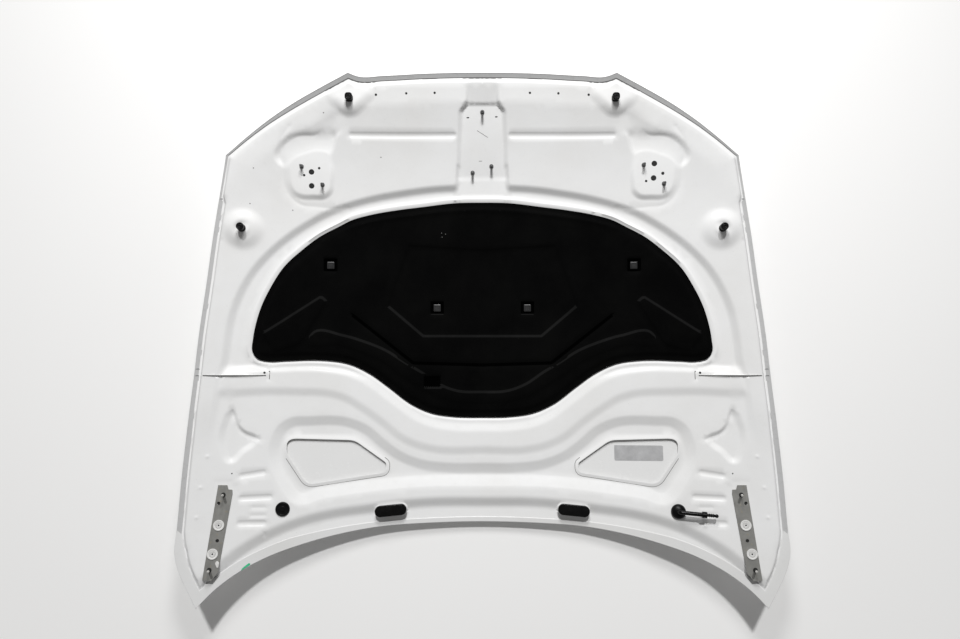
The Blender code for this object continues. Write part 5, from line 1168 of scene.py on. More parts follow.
def box_points(place, width, length):
    half_x, half_y = width / 2, length / 2
    corners = [(half_x, half_y), (-half_x, half_y), (-half_x, -half_y), (half_x, -half_y)]
    return [(place[0] + x, place[1] + y) for x, y in corners]


def hinge_plate_loop(margin=0.0):
    """Outline of the right hinge plate, wider by a margin all round."""
    loop = np.array(plan_list(HINGE_PLATE_SHARES))
    return shifted(loop, -margin * turn_of(loop), True)


def slit_loop():
    (x1, y1), (x2, y2) = plan(SLIT_START_SHARES), plan(SLIT_END_SHARES)
    half = SLIT_WIDTH / 2
    return [(x1, y1 - half), (x2, y2 - half), (x2, y2 + half), (x1, y1 + half)]


def clip_holes():
    """Round holes for the liner clips' stems, on the right side."""
    return [ring_points(plan(share), CLIP_HOLE_RADIUS, HOLE_SIDES) for share in CLIP_SHARES]


def panel_holes(forms):
    """Closed lines of every hole through the inner panel, on both sides."""
    right = [[tuple(p) for p in forms.opening], slit_loop(),
             ring_points(plan(SLIT_HOLE_SHARES), SLIT_HOLE_RADIUS, HOLE_SIDES),
             ring_points(plan(HINGE_END_HOLE_SHARES), HINGE_END_HOLE_RADIUS, HOLE_SIDES)]
    right += [ring_points(plan(share), FRONT_HOLE_RADIUS, HOLE_SIDES) for share in FRONT_HOLE_SHARES]
    right += clip_holes()
    both = right + [other_side(loop) for loop in right]
    for side, sign in SIDES:
        both += [ring_points(place, radius, HOLE_SIDES) for place, radius in latch_holes(side, sign)]
    return both


def latch_holes(side, sign):
    """Place and radius of each round hole of one side latch pad."""
    places = [(plan(share), radius_share) for share, radius_share in LATCH_HOLE_SHARES[side]]
    return [((x * sign, y), LATCH_HOLE_RADIUS * radius_share) for (x, y), radius_share in places]


def turn_of(loop):
    """1 for a loop that turns left, -1 for one that turns right."""
    x, y = loop[:, 0], loop[:, 1]
    return math.copysign(1.0, float((x * np.roll(y, -1) - np.roll(x, -1) * y).sum()))


def turned_about(loop, centre, heading):
    """A loop turned by a heading and moved to a centre."""
    cos, sin = math.cos(heading), math.sin(heading)
    return np.array([(centre[0] + x * cos - y * sin, centre[1] + x * sin + y * cos) for x, y in loop])


def turned_left(points, faces):
    """Triangles that all turn left as seen from above."""
    a, b, c = (points[faces[:, k]] for k in range(3))
    area = (b[:, 0] - a[:, 0]) * (c[:, 1] - a[:, 1]) - (b[:, 1] - a[:, 1]) * (c[:, 0] - a[:, 0])
    faces = faces.copy()
    flip = area < 0
    faces[flip] = faces[flip][:, ::-1]
    return faces


def rim_edges(faces):
    """Directed edges that belong to one triangle only."""
    directed = {(int(f[k]), int(f[(k + 1) % 3])) for f in faces for k in range(3)}
    return [(a, b) for a, b in directed if (b, a) not in directed]


def placed(corners, origin, normal, heading=0.0):
    """Local corners turned about their own axis, stood on a normal and moved to an origin."""
    stand = Vector((0, 0, 1)).rotation_difference(normal).to_matrix()
    turn = Matrix.Rotation(heading, 3, "Z")
    return [tuple(origin + stand @ (turn @ Vector(c))) for c in corners]


def mirrored(vector):
    return Vector((-vector.x, vector.y, vector.z))


def seat_of(place, level):
    """The point and normal of a seat at a level above the skin, on either side."""
    pad = Pad((abs(place[0]), place[1]), level)
    normal = pad.normal() if place[0] >= 0 else mirrored(pad.normal())
    return Vector((place[0], place[1], pad.height)), normal


def on_pad(pad, place, sign):
    """A place on a right-hand pad, or on its mirror image where the sign is -1."""
    point = pad.point(*place)
    normal = pad.normal()
    if sign < 0:
        return mirrored(point), mirrored(normal)
    return point, normal


def oval_points(half_length, half_width, sides):
    straight = half_length - half_width
    angles = [2 * math.pi * (k + 0.5) / sides for k in range(sides)]
    return [(math.copysign(straight, math.cos(a)) + half_width * math.cos(a), half_width * math.sin(a))
            for a in angles]


# Fine sheets

def folded_over(points):
    """Points with those of the left side moved to their mirror places on the right."""
    return np.column_stack([np.abs(points[:, 0]), points[:, 1]])


def moved(line, distance, closed=True):
    """A line moved by one distance, inwards where it is closed."""
    return shifted(line, distance * turn_of(line) if closed else distance, closed)


def is_clear(points, outline, holes):
    """Which points lie inside the outline and outside every hole."""
    clear = is_inside(points, outline)
    for hole in holes:
        clear &= ~is_inside(points, hole)
    return clear


def anywhere(points):
    return np.ones(len(points), dtype=bool)


def triangulated(points, edges, outline, holes):
    """The used points and the triangles inside the outline and outside the holes."""
    result = delaunay_2d_cdt([Vector(p) for p in points], edges, [], 0, MERGE_DISTANCE)
    plan_points = np.array([tuple(p) for p in result[0]])
    faces = np.array(result[2])
    faces = faces[is_clear(plan_points[faces].mean(axis=1), outline, holes)]
    used = np.unique(faces)
    fresh = np.full(len(plan_points), -1)
    fresh[used] = np.arange(len(used))
    return plan_points[used], turned_left(plan_points[used], fresh[faces])


class Cells:
    """Places kept in square cells, to find whether one lies near another."""

    def __init__(self, size, points):
        self.size = size
        self.cells = {}
        for x, y in points:
            self.add(x, y)

    def cell(self, x, y):
        return int(x // self.size), int(y // self.size)

    def add(self, x, y):
        self.cells.setdefault(self.cell(x, y), []).append((x, y))

    def has_near(self, x, y):
        column, row = self.cell(x, y)
        around = [(column + i, row + j) for i in (-1, 0, 1) for j in (-1, 0, 1)]
        near = [place for cell in around for place in self.cells.get(cell, ())]
        return any((x - px) ** 2 + (y - py) ** 2 < self.size**2 for px, py in near)


class Cloud:
    """Loose points and border lines in plan, thinned and triangulated together."""

    def __init__(self, borders):
        self.fixed = []
        self.edges = []
        self.loose = []
        for loop in borders:
            first = len(self.fixed)
            count = len(loop)
            self.fixed += [tuple(p) for p in loop]
            self.edges += [(first + k, first + (k + 1) % count) for k in range(count)]

    def add(self, points, keep=None, mirror=False):
        points = np.asarray(points, dtype=float)
        if mirror:
            points = np.vstack([points, points * np.array([-1.0, 1.0])])
        if keep is not None:
            points = points[keep(points)]
        self.loose.append(points)

    def add_wall(self, line, width, closed, keep=None, mirror=False, lines=WALL_LINES):
        """Points on several lines across a pressed wall."""
        for share in np.linspace(-WALL_SPREAD, WALL_SPREAD, lines):
            self.add(shifted(line, share * width, closed), keep, mirror)

    def add_bead(self, points, width, mirror=True):
        """Points along and beside a narrow pressed line."""
        spacing = FINE_DETAIL * BEAD_STEP_SHARE
        line = flowing(points, spacing) if len(points) > 2 else straight(points, spacing)
        for share in np.linspace(-BEAD_REACH, BEAD_REACH, BEAD_LINES):
            self.add(shifted(line, share * width, False), None, mirror)
        for end, inner in ((line[0], line[1]), (line[-1], line[-2])):
            heading = math.atan2(*(end - inner)[::-1])
            for reach in BEAD_FAN_REACHES:
                fan = [end + reach * width * np.array([math.cos(heading + a), math.sin(heading + a)])
                       for a in np.linspace(-BEAD_FAN_ANGLE, BEAD_FAN_ANGLE, BEAD_LINES)]
                self.add(np.array(fan), None, mirror)

    def add_rings(self, place, radii, sides, mirror=True):
        for radius in radii:
            self.add(np.array(ring_points(place, radius, sides)), None, mirror)

    def thinned(self, outline, holes):
        """Loose points inside the outline, with none closer to another than the gap."""
        taken = Cells(CLOUD_GAP, self.fixed)
        points = np.vstack(self.loose)
        kept = []
        for x, y in points[is_clear(points, outline, holes)]:
            if not taken.has_near(x, y):
                taken.add(x, y)
                kept.append((x, y))
        return kept

    def triangles(self, outline, holes, fields):
        """Points and triangles, with fields of loose points where nothing else is near."""
        kept = self.thinned(outline, holes)
        busy = Cells(FIELD_CLEARANCE, kept + self.fixed)
        for spacing, inside in fields:
            grid = hex_grid(spacing)
            grid = grid[inside(grid) & is_clear(grid, outline, holes)]
            kept += [(x, y) for x, y in grid if not busy.has_near(x, y)]
        return triangulated(self.fixed + kept, self.edges, outline, holes)

    def only_border(self):
        """The first border's points and the triangles between them."""
        result = delaunay_2d_cdt([Vector(p) for p in self.fixed], self.edges, [], 1, MERGE_DISTANCE)
        points = np.array([tuple(p) for p in result[0]])
        return points, turned_left(points, np.array(result[2]))


def straight(points, spacing):
    start, end = np.array(points[0], dtype=float), np.array(points[-1], dtype=float)
    count = max(2, int(np.linalg.norm(end - start) / spacing))
    return start + (end - start) * np.linspace(0.0, 1.0, count + 1)[:, None]


def hex_grid(spacing):
    rise = spacing * math.sqrt(3) / 2
    rows = int(HALF_LENGTH / rise) + 1
    columns = int(HALF_WIDTH / spacing) + 1
    return np.array([((c + 0.5 * (r % 2)) * spacing, (r + 0.5) * rise)
                     for r in range(-rows, rows) for c in range(-columns, columns + 1)])


def sheet_piece(name, look, plan_points, faces, top, bottom, nodes):
    """A closed sheet between two heights over one triangulated plan."""
    count = len(plan_points)
    corners = [(x, y, z) for (x, y), z in zip(plan_points, top)]
    corners += [(x, y, z) for (x, y), z in zip(plan_points, bottom)]
    polygons = [tuple(int(i) for i in f) for f in faces]
    polygons += [tuple(int(i) + count for i in reversed(f)) for f in faces]
    for a, b in rim_edges(faces):
        polygons.append((a, a + count, b + count, b))
    return shown(name, corners, polygons, look, nodes)


def untangled(ring, outline, widths):
    """A ring inside the outline, with the points that overlap at sharp corners drawn together."""
    good = depth_in(ring, outline) > widths * RING_CLEAR_SHARE
    count = len(ring)
    ring = ring.copy()
    for k in range(count):
        if good[k]:
            continue
        back = next(j for j in range(1, count) if good[(k - j) % count])
        ahead = next(j for j in range(1, count) if good[(k + j) % count])
        first, last = ring[(k - back) % count], ring[(k + ahead) % count]
        ring[k] = first + (last - first) * back / (back + ahead)
    return ring


def smooth_noise(points, scale, seed):
    """A soft even unevenness between about -1 and 1, as a sum of waves in several directions."""
    x, y = points[:, 0], points[:, 1]
    total = np.zeros(len(points))
    for k in range(WAVE_COUNT):
        angle = seed + WAVE_TURN * k
        wave = scale * (1 + WAVE_GROWTH * k)
        total += np.sin(x * wave * math.cos(angle) + y * wave * math.sin(angle) + WAVE_PHASE * k)
    return total / WAVE_COUNT


def relief(points, line, width):
    """1 on a narrow line, falling smoothly to 0 beside it."""
    return ease(BEAD_FLAT - distance_to(points, np.array(line), False) / width)


def fine_panel_top(points, forms):
    """The panel's upper face with the small forms that the solid leaves plain."""
    folded = folded_over(points)
    height = panel_top(points, forms)
    for start, end in SHORT_BEAD_SHARES:
        height = height - SHORT_BEAD_DEPTH * relief(folded, [plan(start), plan(end)], SHORT_BEAD_WALL)
    for share in DIMPLE_SHARES:
        x, y = plan(share)
        away = np.hypot(folded[:, 0] - x, (folded[:, 1] - y) * DIMPLE_STRETCH)
        height = height + DIMPLE_HEIGHT * ease(1 - away / DIMPLE_RADIUS)
    step = flowing(plan_list(PAD_STEP_SHARES), FINE_DETAIL)
    height = height - PAD_STEP_DEPTH * relief(folded, step, PAD_STEP_WALL)
    height = height - SLIT_TICK_DEPTH * relief(folded, plan_list(SLIT_TICK_SHARES), SLIT_TICK_WALL)
    pocket_edge = flowing(plan_list(POCKET_EDGE_SHARES), FINE_DETAIL)
    height = height - POCKET_EDGE_DEPTH * relief(folded, pocket_edge, POCKET_EDGE_WALL)
    nick = [(-x, y) for x, y in plan_list(NICK_SHARES)]
    height = height - SLIT_TICK_DEPTH * relief(points, nick, SLIT_TICK_WALL * NICK_WALL_SHARE)
    calm = ease(depth_in(points, forms.hem_line) / FRONT_STRIP_WIDTH)
    return height + SHEET_RIPPLE * smooth_noise(points, SHEET_RIPPLE_SCALE, SHEET_RIPPLE_SEED) * calm


def fine_panel(forms):
    border = shifted(forms.outline, HEM_INNER_WALL + HEM_CLEARANCE, True)
    holes = [np.array(loop) for loop in panel_holes(forms)]
    cloud = Cloud([border] + holes)
    for side, sign in SIDES:
        for place, radius in latch_holes(side, sign):
            cloud.add_rings(place, [radius + HOLE_RING_GAP], HOLE_SIDES, False)
    for share in CENTRE_LATCH_STUD_SHARES:
        cloud.add_rings(plan(share), STUD_RINGS, SMALL_ROUND_SIDES // 3, False)
    add_fine_edge(cloud, forms)
    add_fine_walls(cloud, forms)
    add_fine_seats(cloud)

    def in_the_open(points):
        return depth_in(points, forms.liner) < 0

    def under_liner(points):
        return depth_in(points, forms.liner) >= 0

    fields = [(PANEL_FIELD, in_the_open), (PANEL_UNDER_LINER, under_liner)]
    plan_points, faces = cloud.triangles(border, holes, fields)
    top = fine_panel_top(plan_points, forms)
    return sheet_piece("panel_look", PANEL_LOOK, plan_points, faces, top,
                       top - PANEL_SHEET, ["inner_panel"])


def add_fine_edge(cloud, forms):
    """The wall behind the hem, the strip along the nose and the wall along the rear."""
    widths = hem_widths(forms.outline)
    spread = EDGE_WALL * EDGE_SPREAD
    for offset in np.linspace(EDGE_WALL_OFFSET - spread, EDGE_WALL_OFFSET + spread, 5):
        line = shifted(forms.outline, widths + offset, True)
        cloud.add(line[depth_in(line, forms.hem_line) > offset * CORNER_CLEAR_SHARE])
    for offset in (0.0, FRONT_STRIP_WIDTH * 0.5, FRONT_STRIP_WIDTH):
        line = shifted(forms.outline, widths + EDGE_WALL_OFFSET + EDGE_WALL / 2 + offset, True)
        front = line[:, 1] > STRIP_FADE_START_SHARE * HALF_LENGTH
        clear = depth_in(line, forms.hem_line) > offset * CORNER_CLEAR_SHARE
        cloud.add(line[front & clear])
    cloud.add_wall(forms.rear_wall, REAR_WALL, False, lines=8)


def add_fine_walls(cloud, forms):
    """The lines across every pressed wall, smallest forms first, since they are kept first."""
    for start, end in REAR_BEAD_SHARES + [GROOVE_SHARES]:
        cloud.add_bead(plan_list([start, end]), BEAD_WALL)
    for start, end in SHORT_BEAD_SHARES:
        cloud.add_bead(plan_list([start, end]), SHORT_BEAD_WALL)
    cloud.add_bead(plan_list(PAD_STEP_SHARES), PAD_STEP_WALL)
    cloud.add_bead(plan_list([SLIT_START_SHARES, SLIT_END_SHARES]), SLIT_WIDTH * 2)
    cloud.add_wall(resampled(np.array(both_halves(plan_list(EAR_SHARES)))), EAR_WALL, True, lines=5)
    cloud.add_bead(plan_list(SLIT_TICK_SHARES), SLIT_TICK_WALL)
    cloud.add_bead([(-x, y) for x, y in plan_list(NICK_SHARES)], SLIT_TICK_WALL, False)
    cloud.add_bead(plan_list(POCKET_EDGE_SHARES), POCKET_EDGE_WALL)
    for share in DIMPLE_SHARES:
        radii = [DIMPLE_CENTRE] + [DIMPLE_RADIUS * ring for ring in DIMPLE_RING_SHARES]
        cloud.add_rings(plan(share), radii, DIMPLE_SIDES)
    front_of = VALLEY_END_SHARE * HALF_LENGTH
    rim = moved(forms.liner, -RIM_MARGIN)
    cloud.add_wall(rim, RIM_WALL, True, lambda line: line[:, 1] > front_of / 2, lines=5)
    cloud.add_wall(moved(forms.liner, -TRAY_MARGIN), TRAY_WALL, True, lines=3)
    lip = moved(forms.opening, -OPENING_LIP_MARGIN)
    cloud.add_wall(lip, OPENING_LIP_WALL, True, mirror=True, lines=2)
    cloud.add_wall(forms.side_pad, PAD_WALL, True, mirror=True)
    cloud.add_wall(forms.front_boss, BOSS_WALL, True, mirror=True)
    cloud.add_wall(resampled(forms.centre_pad), PAD_WALL, True)
    cloud.add_wall(resampled(forms.channel), PAD_WALL, True)
    cloud.add_wall(forms.side_dip, PAD_WALL, True, mirror=True)
    cloud.add_wall(forms.ring, RING_WALL, True, lambda line: line[:, 1] > RING_LINES_SHARE * front_of)
    cloud.add_wall(forms.crossmember_front, CROSSMEMBER_FRONT_WALL, False, lines=9)
    cloud.add_wall(forms.crossmember_rear, CROSSMEMBER_REAR_WALL, False)
    cloud.add_wall(forms.trough, TROUGH_FRONT_WALL, True, lines=9)
    cloud.add_wall(forms.pocket, POCKET_WALL, True, mirror=True)


def resampled(loop):
    """A loop of straight sides with points an even distance apart."""
    closed = np.vstack([loop, loop[:1]])
    return evenly_spaced(closed, FINE_DETAIL, True)


def add_fine_seats(cloud):
    for pad, radius in seats():
        cloud.add_rings((pad.x, pad.y), [radius, radius + BEAD_WALL * 0.5, radius + BEAD_WALL], SEAT_SIDES)
    boss = plan(SIDE_BOSS_CENTRE_SHARES)
    dome_radii = np.arange(SIDE_BOSS_TOP_RADIUS, SIDE_BOSS_RADIUS + DOME_RING_MARGIN, DOME_RING_STEP)
    cloud.add_rings(boss, dome_radii, DOME_SIDES)
    for margin in np.linspace(HINGE_PAD_MARGIN - EDGE_WALL / 2, HINGE_PAD_MARGIN + EDGE_WALL / 2, 4):
        cloud.add(resampled(hinge_plate_loop(margin)), None, True)
    for reach in np.linspace(-NOZZLE_SEAT_MARGIN, NOZZLE_SEAT_WALL - NOZZLE_SEAT_MARGIN, 3):
        oval = oval_points(NOZZLE_HALF_LENGTH + reach, NOZZLE_HALF_WIDTH + reach, ROUND_SIDES)
        cloud.add(turned_about(oval, plan(NOZZLE_SHARES), -NOZZLE_HEADING), None, True)


# Outer skin

def fine_skin(forms):
    """Skin sheet with a rounded hem folded over the panel's flange."""
    widths = hem_widths(forms.outline)
    inner = untangled(shifted(forms.outline, widths, True), forms.outline, widths)
    corners, polygons = [], []
    for inset, rise, face_down in ((HEM_NOSE, 0.0, True), (HEM_INNER_WALL, SKIN_SHEET, False)):
        border = shifted(forms.outline, inset, True)
        cloud = Cloud([border])
        cloud.add(np.zeros((1, 2)))
        cloud.add_rings((0.0, 0.0), [REST_FLAT_RADIUS * 0.5, REST_FLAT_RADIUS], SEAT_SIDES, False)
        cloud.add(inner)
        plan_points, faces = cloud.triangles(border, [], [(SKIN_FIELD, anywhere)])
        first = len(corners)
        heights = skin_height(plan_points) + rise
        corners += [(x, y, z) for (x, y), z in zip(plan_points, heights)]
        for face in faces:
            ordered = reversed(face) if face_down else face
            polygons.append(tuple(int(i) + first for i in ordered))
    half = HEM_STACK / 2
    rings = [(HEM_NOSE * (1 - math.cos(a)), half + half * math.sin(a))
             for a in np.linspace(-math.pi / 2, math.pi / 2, 7)]
    rings += [(HEM_LINE_WIDTH, HEM_STACK), (widths - HEM_LINE_WIDTH, HEM_STACK),
              (widths - HEM_BEVEL, HEM_STACK), (widths, HEM_STACK - HEM_BEVEL_DROP),
              (widths, HEM_STACK - SKIN_SHEET), (HEM_INNER_WALL, HEM_STACK - SKIN_SHEET),
              (HEM_INNER_WALL, SKIN_SHEET)]
    indices = []
    for inset, rise in rings:
        ring = shifted(forms.outline, inset, True)
        if not np.isscalar(inset):
            ring = untangled(ring, forms.outline, inset)
        indices.append(ring_indices(corners, ring, skin_height(ring) + rise))
    for low, high in zip(indices, indices[1:]):
        for k in range(len(low)):
            after = (k + 1) % len(low)
            polygons += [(low[k], low[after], high[after]), (low[k], high[after], high[k])]
    made = shown("skin_look", corners, polygons, SKIN_LOOK, ["outer_skin"], HEM_SMOOTH)
    centres = face_centres(made)
    # The hem takes painted shade: grey on the nose and sides, with dark lines at its edges.
    with_looks(made, [HEM_SHADE_LOOK, HEM_SEAM_AND_SHADE_LOOK, REAR_HEM_LOOK], hem_choices(centres, forms))
    return made


def face_centres(made):
    return np.array([tuple(face.center) for face in made.data.polygons])


def hem_choices(centres, forms):
    """0 for the skin's faces, 1 for the hem's painted shade, 2 for its dark lines of painted shade and 3 for
    the rear hem.
    """
    x, y = np.abs(centres[:, 0]), centres[:, 1]
    depths = depth_in(centres[:, :2], forms.outline)
    whole_hem = centres[:, 2] - skin_height(centres[:, :2]) > HEM_STACK * HEM_FACE_SHARE
    grey = (y > HEM_GREY_END_SHARE * HALF_LENGTH) & ((y > 0) | (x > HALF_WIDTH / 2))
    on_hem = whole_hem & grey & (depths < HEM_WIDTH + HEM_LINE_WIDTH)
    inner_line = depths > hem_widths(folded_over(centres)) - HEM_LINE_WIDTH
    # Painted shade: thin dark lines along both edges of the hem at the nose.
    dark = (y > HEM_CORNER_SHARE[1] * HALF_LENGTH) & ((depths < HEM_LINE_WIDTH) | inner_line)
    return np.select([whole_hem & ~grey, on_hem & dark, on_hem], [3, 2, 1], 0)


def ring_indices(corners, ring, heights):
    """Indices of a ring's corners, which reuse a corner already made at the same place."""
    made = np.array(corners)
    found = []
    for (x, y), z in zip(ring, heights):
        away = np.abs(made - (x, y, z)).max(axis=1)
        nearest = int(np.argmin(away))
        if away[nearest] > SEAT_GAP / 10:
            corners.append((x, y, z))
            nearest = len(corners) - 1
        found.append(nearest)
    return found


# Liner

def fine_liner(forms):
    holes = clip_holes()
    holes += [other_side(loop) for loop in holes]
    cloud = Cloud([forms.liner] + holes)
    for depth in np.linspace(LINER_EDGE_START, LINER_EDGE_WIDTH + LINER_EDGE_WALL / 2, 7):
        cloud.add(moved(forms.liner, depth))
    for place in plan_list(CLIP_SHARES):
        for reach in np.linspace(0.0, 2 * CLIP_RECESS_WALL, 5):
            square = np.array(box_points(place, CLIP_RECESS + reach, CLIP_RECESS + reach))
            cloud.add(resampled(square), None, True)
    bead = flowing(plan_list(LINER_BEAD_SHARES), FINE_DETAIL)
    groove = evenly_spaced(np.array(plan_list(LINER_DIAGONAL_SHARES)), FINE_DETAIL, False)
    for line in (bead, groove):
        for share in np.linspace(-BEAD_FLAT, BEAD_FLAT, 5):
            cloud.add(moved(line, share * LINER_LINE_WALL, False), None, True)
    empty = np.array(plan_list(LINER_EMPTY_RECESS_SHARES))
    for margin in np.linspace(-CLIP_RECESS_WALL, CLIP_RECESS_WALL, 5):
        cloud.add(resampled(moved(empty, margin)))
    cloud.add_wall(forms.band, LINER_WALL, True, lines=3)
    cloud.add_wall(forms.fin, LINER_WALL, True, mirror=True, lines=3)
    cloud.add_wall(resampled(forms.field), LINER_WALL, True, lines=3)
    fields = [(LINER_FIELD, anywhere)]
    plan_points, faces = cloud.triangles(forms.liner, [np.array(h) for h in holes], fields)
    seat = skin_height(plan_points) + TRAY_LEVEL + LINER_SEAT_GAP
    thick = liner_thickness(plan_points, forms)
    folded = folded_over(plan_points)
    thick = thick + LINER_LINE_HEIGHT * relief(folded, bead, LINER_LINE_WALL)
    thick = thick - LINER_LINE_HEIGHT * relief(folded, groove, LINER_LINE_WALL)
    in_empty = ease(depth_in(plan_points, empty) / CLIP_RECESS_WALL + 0.5)
    thick = thick - LINER_EMPTY_RECESS_DEPTH * in_empty
    calm = ease(depth_in(plan_points, forms.liner) / LINER_EDGE_WIDTH)
    thick = thick + LINER_RIPPLE * smooth_noise(plan_points, LINER_RIPPLE_SCALE, LINER_RIPPLE_SEED) * calm
    made = sheet_piece("liner_look", FELT_LOOK, plan_points, faces, seat + thick, seat,
                       ["insulation_liner"])
    with_looks(made, [DUST_AND_SHEEN_FELT_LOOK, RECESS_SHADE_FELT_LOOK], felt_choices(made, forms, groove, empty))
    for number, share in enumerate(LINER_SPECK_SHARES, 1):
        loop = np.array(ring_points(plan(share), LINER_SPECK_RADIUS, 10))
        points, faces = Cloud([loop]).only_border()
        low = skin_height(points) + TRAY_LEVEL + LINER_SEAT_GAP + liner_thickness(points, forms) + SPECK_LIFT
        sheet_piece("felt_speck_%d" % number, CHIP_LOOK, points, faces,
                    low + GREEN_MARK_LIFT, low, [])
    return made


def felt_choices(made, forms, groove, empty):
    """0 for plain felt, 1 for ledges that face forwards, lighter as dust and partly as painted sheen, and 2
    for recesses darkened with painted shade.
    """
    centres = face_centres(made)
    places = centres[:, :2]
    # Painted shade in the clip recesses, the empty recess and along the groove.
    shaded = np.zeros(len(centres), dtype=bool)
    for x, y in plan_list(CLIP_SHARES):
        off = np.maximum(np.abs(np.abs(centres[:, 0]) - x), np.abs(centres[:, 1] - y))
        shaded |= (off < RECESS_SHADE) & (centres[:, 1] - y > -RECESS_LOW_EDGE)
    from_groove = distance_to(folded_over(places), groove, False)
    shaded |= (depth_in(places, empty) > EMPTY_SHADE_DEPTH) | (from_groove < LINER_GROOVE_SHADE)
    open_felt = (depth_in(places, forms.liner) > RIM_CLEAR) & (from_groove > LINER_GROOVE_CLEAR)
    choices = []
    for face, allowed, shade in zip(made.data.polygons, open_felt, shaded):
        tilt = math.hypot(face.normal.x, face.normal.y)
        ledge = face.normal.z > 0.5 and tilt > LEDGE_TILT and face.normal.y > LEDGE_FORWARD_SHARE * tilt
        choices.append(2 if shade else (1 if ledge and allowed else 0))
    return choices


# Turned, stacked and flat pieces

def tube_polygons(rows, count):
    """The sides of a tube of rows with equal counts, and its two ends."""
    polygons = []
    for row in range(rows - 1):
        for k in range(count):
            a, b = row * count + k, row * count + (k + 1) % count
            polygons.append((a, b, b + count, a + count))
    polygons.append(tuple(reversed(range(count))))
    polygons.append(tuple(range((rows - 1) * count, rows * count)))
    return polygons


def stacked(name, look, nodes, layers, origin, normal, heading=0.0, smooth=ROUND_SMOOTH):
    """Solid through a stack of loops with equal counts: each layer is a loop and its height."""
    corners = [(x, y, height) for loop, height in layers for x, y in loop]
    polygons = tube_polygons(len(layers), len(layers[0][0]))
    return shown(name, placed(corners, origin, normal, heading), polygons, look, nodes, smooth)


def turned_piece(name, look, nodes, profile, sides, origin, normal, smooth=ROUND_SMOOTH):
    """Solid of revolution from a profile of radius and height."""
    layers = [(ring_points((0.0, 0.0), radius, sides), height) for radius, height in profile]
    return stacked(name, look, nodes, layers, origin, normal, 0.0, smooth)


def rounded(profile, radius, steps=3):
    """A profile with every inner corner cut to a small arc."""
    points = [Vector(p) for p in profile]
    made = [tuple(points[0])]
    for before, here, after in zip(points, points[1:], points[2:]):
        back, ahead = before - here, after - here
        reach = min(radius, back.length * PROFILE_REACH_LIMIT, ahead.length * PROFILE_REACH_LIMIT)
        if reach < MERGE_DISTANCE:
            made.append(tuple(here))
            continue
        start, end = here + back.normalized() * reach, here + ahead.normalized() * reach
        for k in range(steps + 1):
            t = k / steps
            made.append(tuple(start * (1 - t) ** 2 + here * 2 * t * (1 - t) + end * t**2))
    made.append(tuple(points[-1]))
    return made


def swept(name, look, nodes, path, radii, sides, origin, normal, heading):
    """Round bar along a path in its own upright plane, given as distance out and height."""
    corners = []
    for k, ((out, height), radius) in enumerate(zip(path, radii)):
        before, after = path[max(k - 1, 0)], path[min(k + 1, len(path) - 1)]
        along = Vector((after[0] - before[0], 0, after[1] - before[1])).normalized()
        up = Vector((-along.z, 0, along.x))
        side = Vector((0, 1, 0))
        for step in range(sides):
            angle = 2 * math.pi * step / sides
            corners.append(tuple(Vector((out, 0, height)) + (side * math.cos(angle)
                                                             + up * math.sin(angle)) * radius))
    polygons = tube_polygons(len(path), sides)
    return shown(name, placed(corners, origin, normal, heading), polygons, look, nodes, ROUND_SMOOTH)


def stud(node, origin, normal, length, lit_tip=False):
    """Threaded stud with a thin collar and a rounded point."""
    profile = [(STUD_COLLAR_RADIUS, 0.0), (STUD_COLLAR_RADIUS, STUD_COLLAR_THICKNESS),
               (STUD_RADIUS, STUD_COLLAR_THICKNESS)]
    height = STUD_COLLAR_THICKNESS + THREAD_PITCH
    while height < length - STUD_CHAMFER - THREAD_PITCH:
        profile.append((STUD_RADIUS - THREAD_DEPTH, height))
        profile.append((STUD_RADIUS, height + THREAD_PITCH / 2))
        height += THREAD_PITCH
    profile.append((STUD_RADIUS - THREAD_DEPTH, length - STUD_CHAMFER))
    for inward, short in STUD_POINT_SHARES:
        profile.append((STUD_RADIUS - STUD_CHAMFER * inward, length - STUD_CHAMFER * short))
    look = SHADED_STUD_LOOK if lit_tip else STUD_LOOK
    made = turned_piece(node + "_look", look, [node], profile, STUD_SIDES,
                        origin + normal * SEAT_GAP, normal, EDGE_SMOOTH)
    # Painted highlight on the tip and painted shade on the body, for the hinge studs.
    if lit_tip:
        tip = length * STUD_TIP_SHARE
        with_looks(made, [LIT_TIP_LOOK], [(face.center - origin).dot(normal) > tip
                                           for face in made.data.polygons])


def buffer(node, origin, normal, radius, height, square=0.0):
    """Rubber buffer: a foot, a slight waist and a head with a ringed, dished end."""
    waist = radius - BUFFER_WAIST
    profile = [(radius, 0.0), (radius, BUFFER_FOOT_HEIGHT), (waist, BUFFER_FOOT_HEIGHT + BUFFER_WAIST),
               (waist, height / 2), (radius, height / 2 + BUFFER_WAIST), (radius, height - BUFFER_WAIST),
               (radius - BUFFER_WAIST, height), (radius - BUFFER_RIM, height),
               (radius - BUFFER_RIM - BUFFER_DISH_SLOPE, height - BUFFER_DISH * 0.5)]
    profile += [(radius * out, height - BUFFER_DISH * down) for out, down in BUFFER_DISH_SHARES]
    layers = []
    for reach, level in rounded(profile, BUFFER_ROUNDING):
        loop = []
        for x, y in ring_points((0.0, 0.0), reach, SMALL_ROUND_SIDES):
            corner = 1 + square * (2 * abs(x * y) / max(reach, MERGE_DISTANCE) ** 2)
            loop.append((x * corner, y * corner))
        layers.append((loop, level))
    stacked(node + "_look", RUBBER_LOOK, [node], layers, origin + normal * SEAT_GAP,
            normal, 0.0, HEM_SMOOTH)


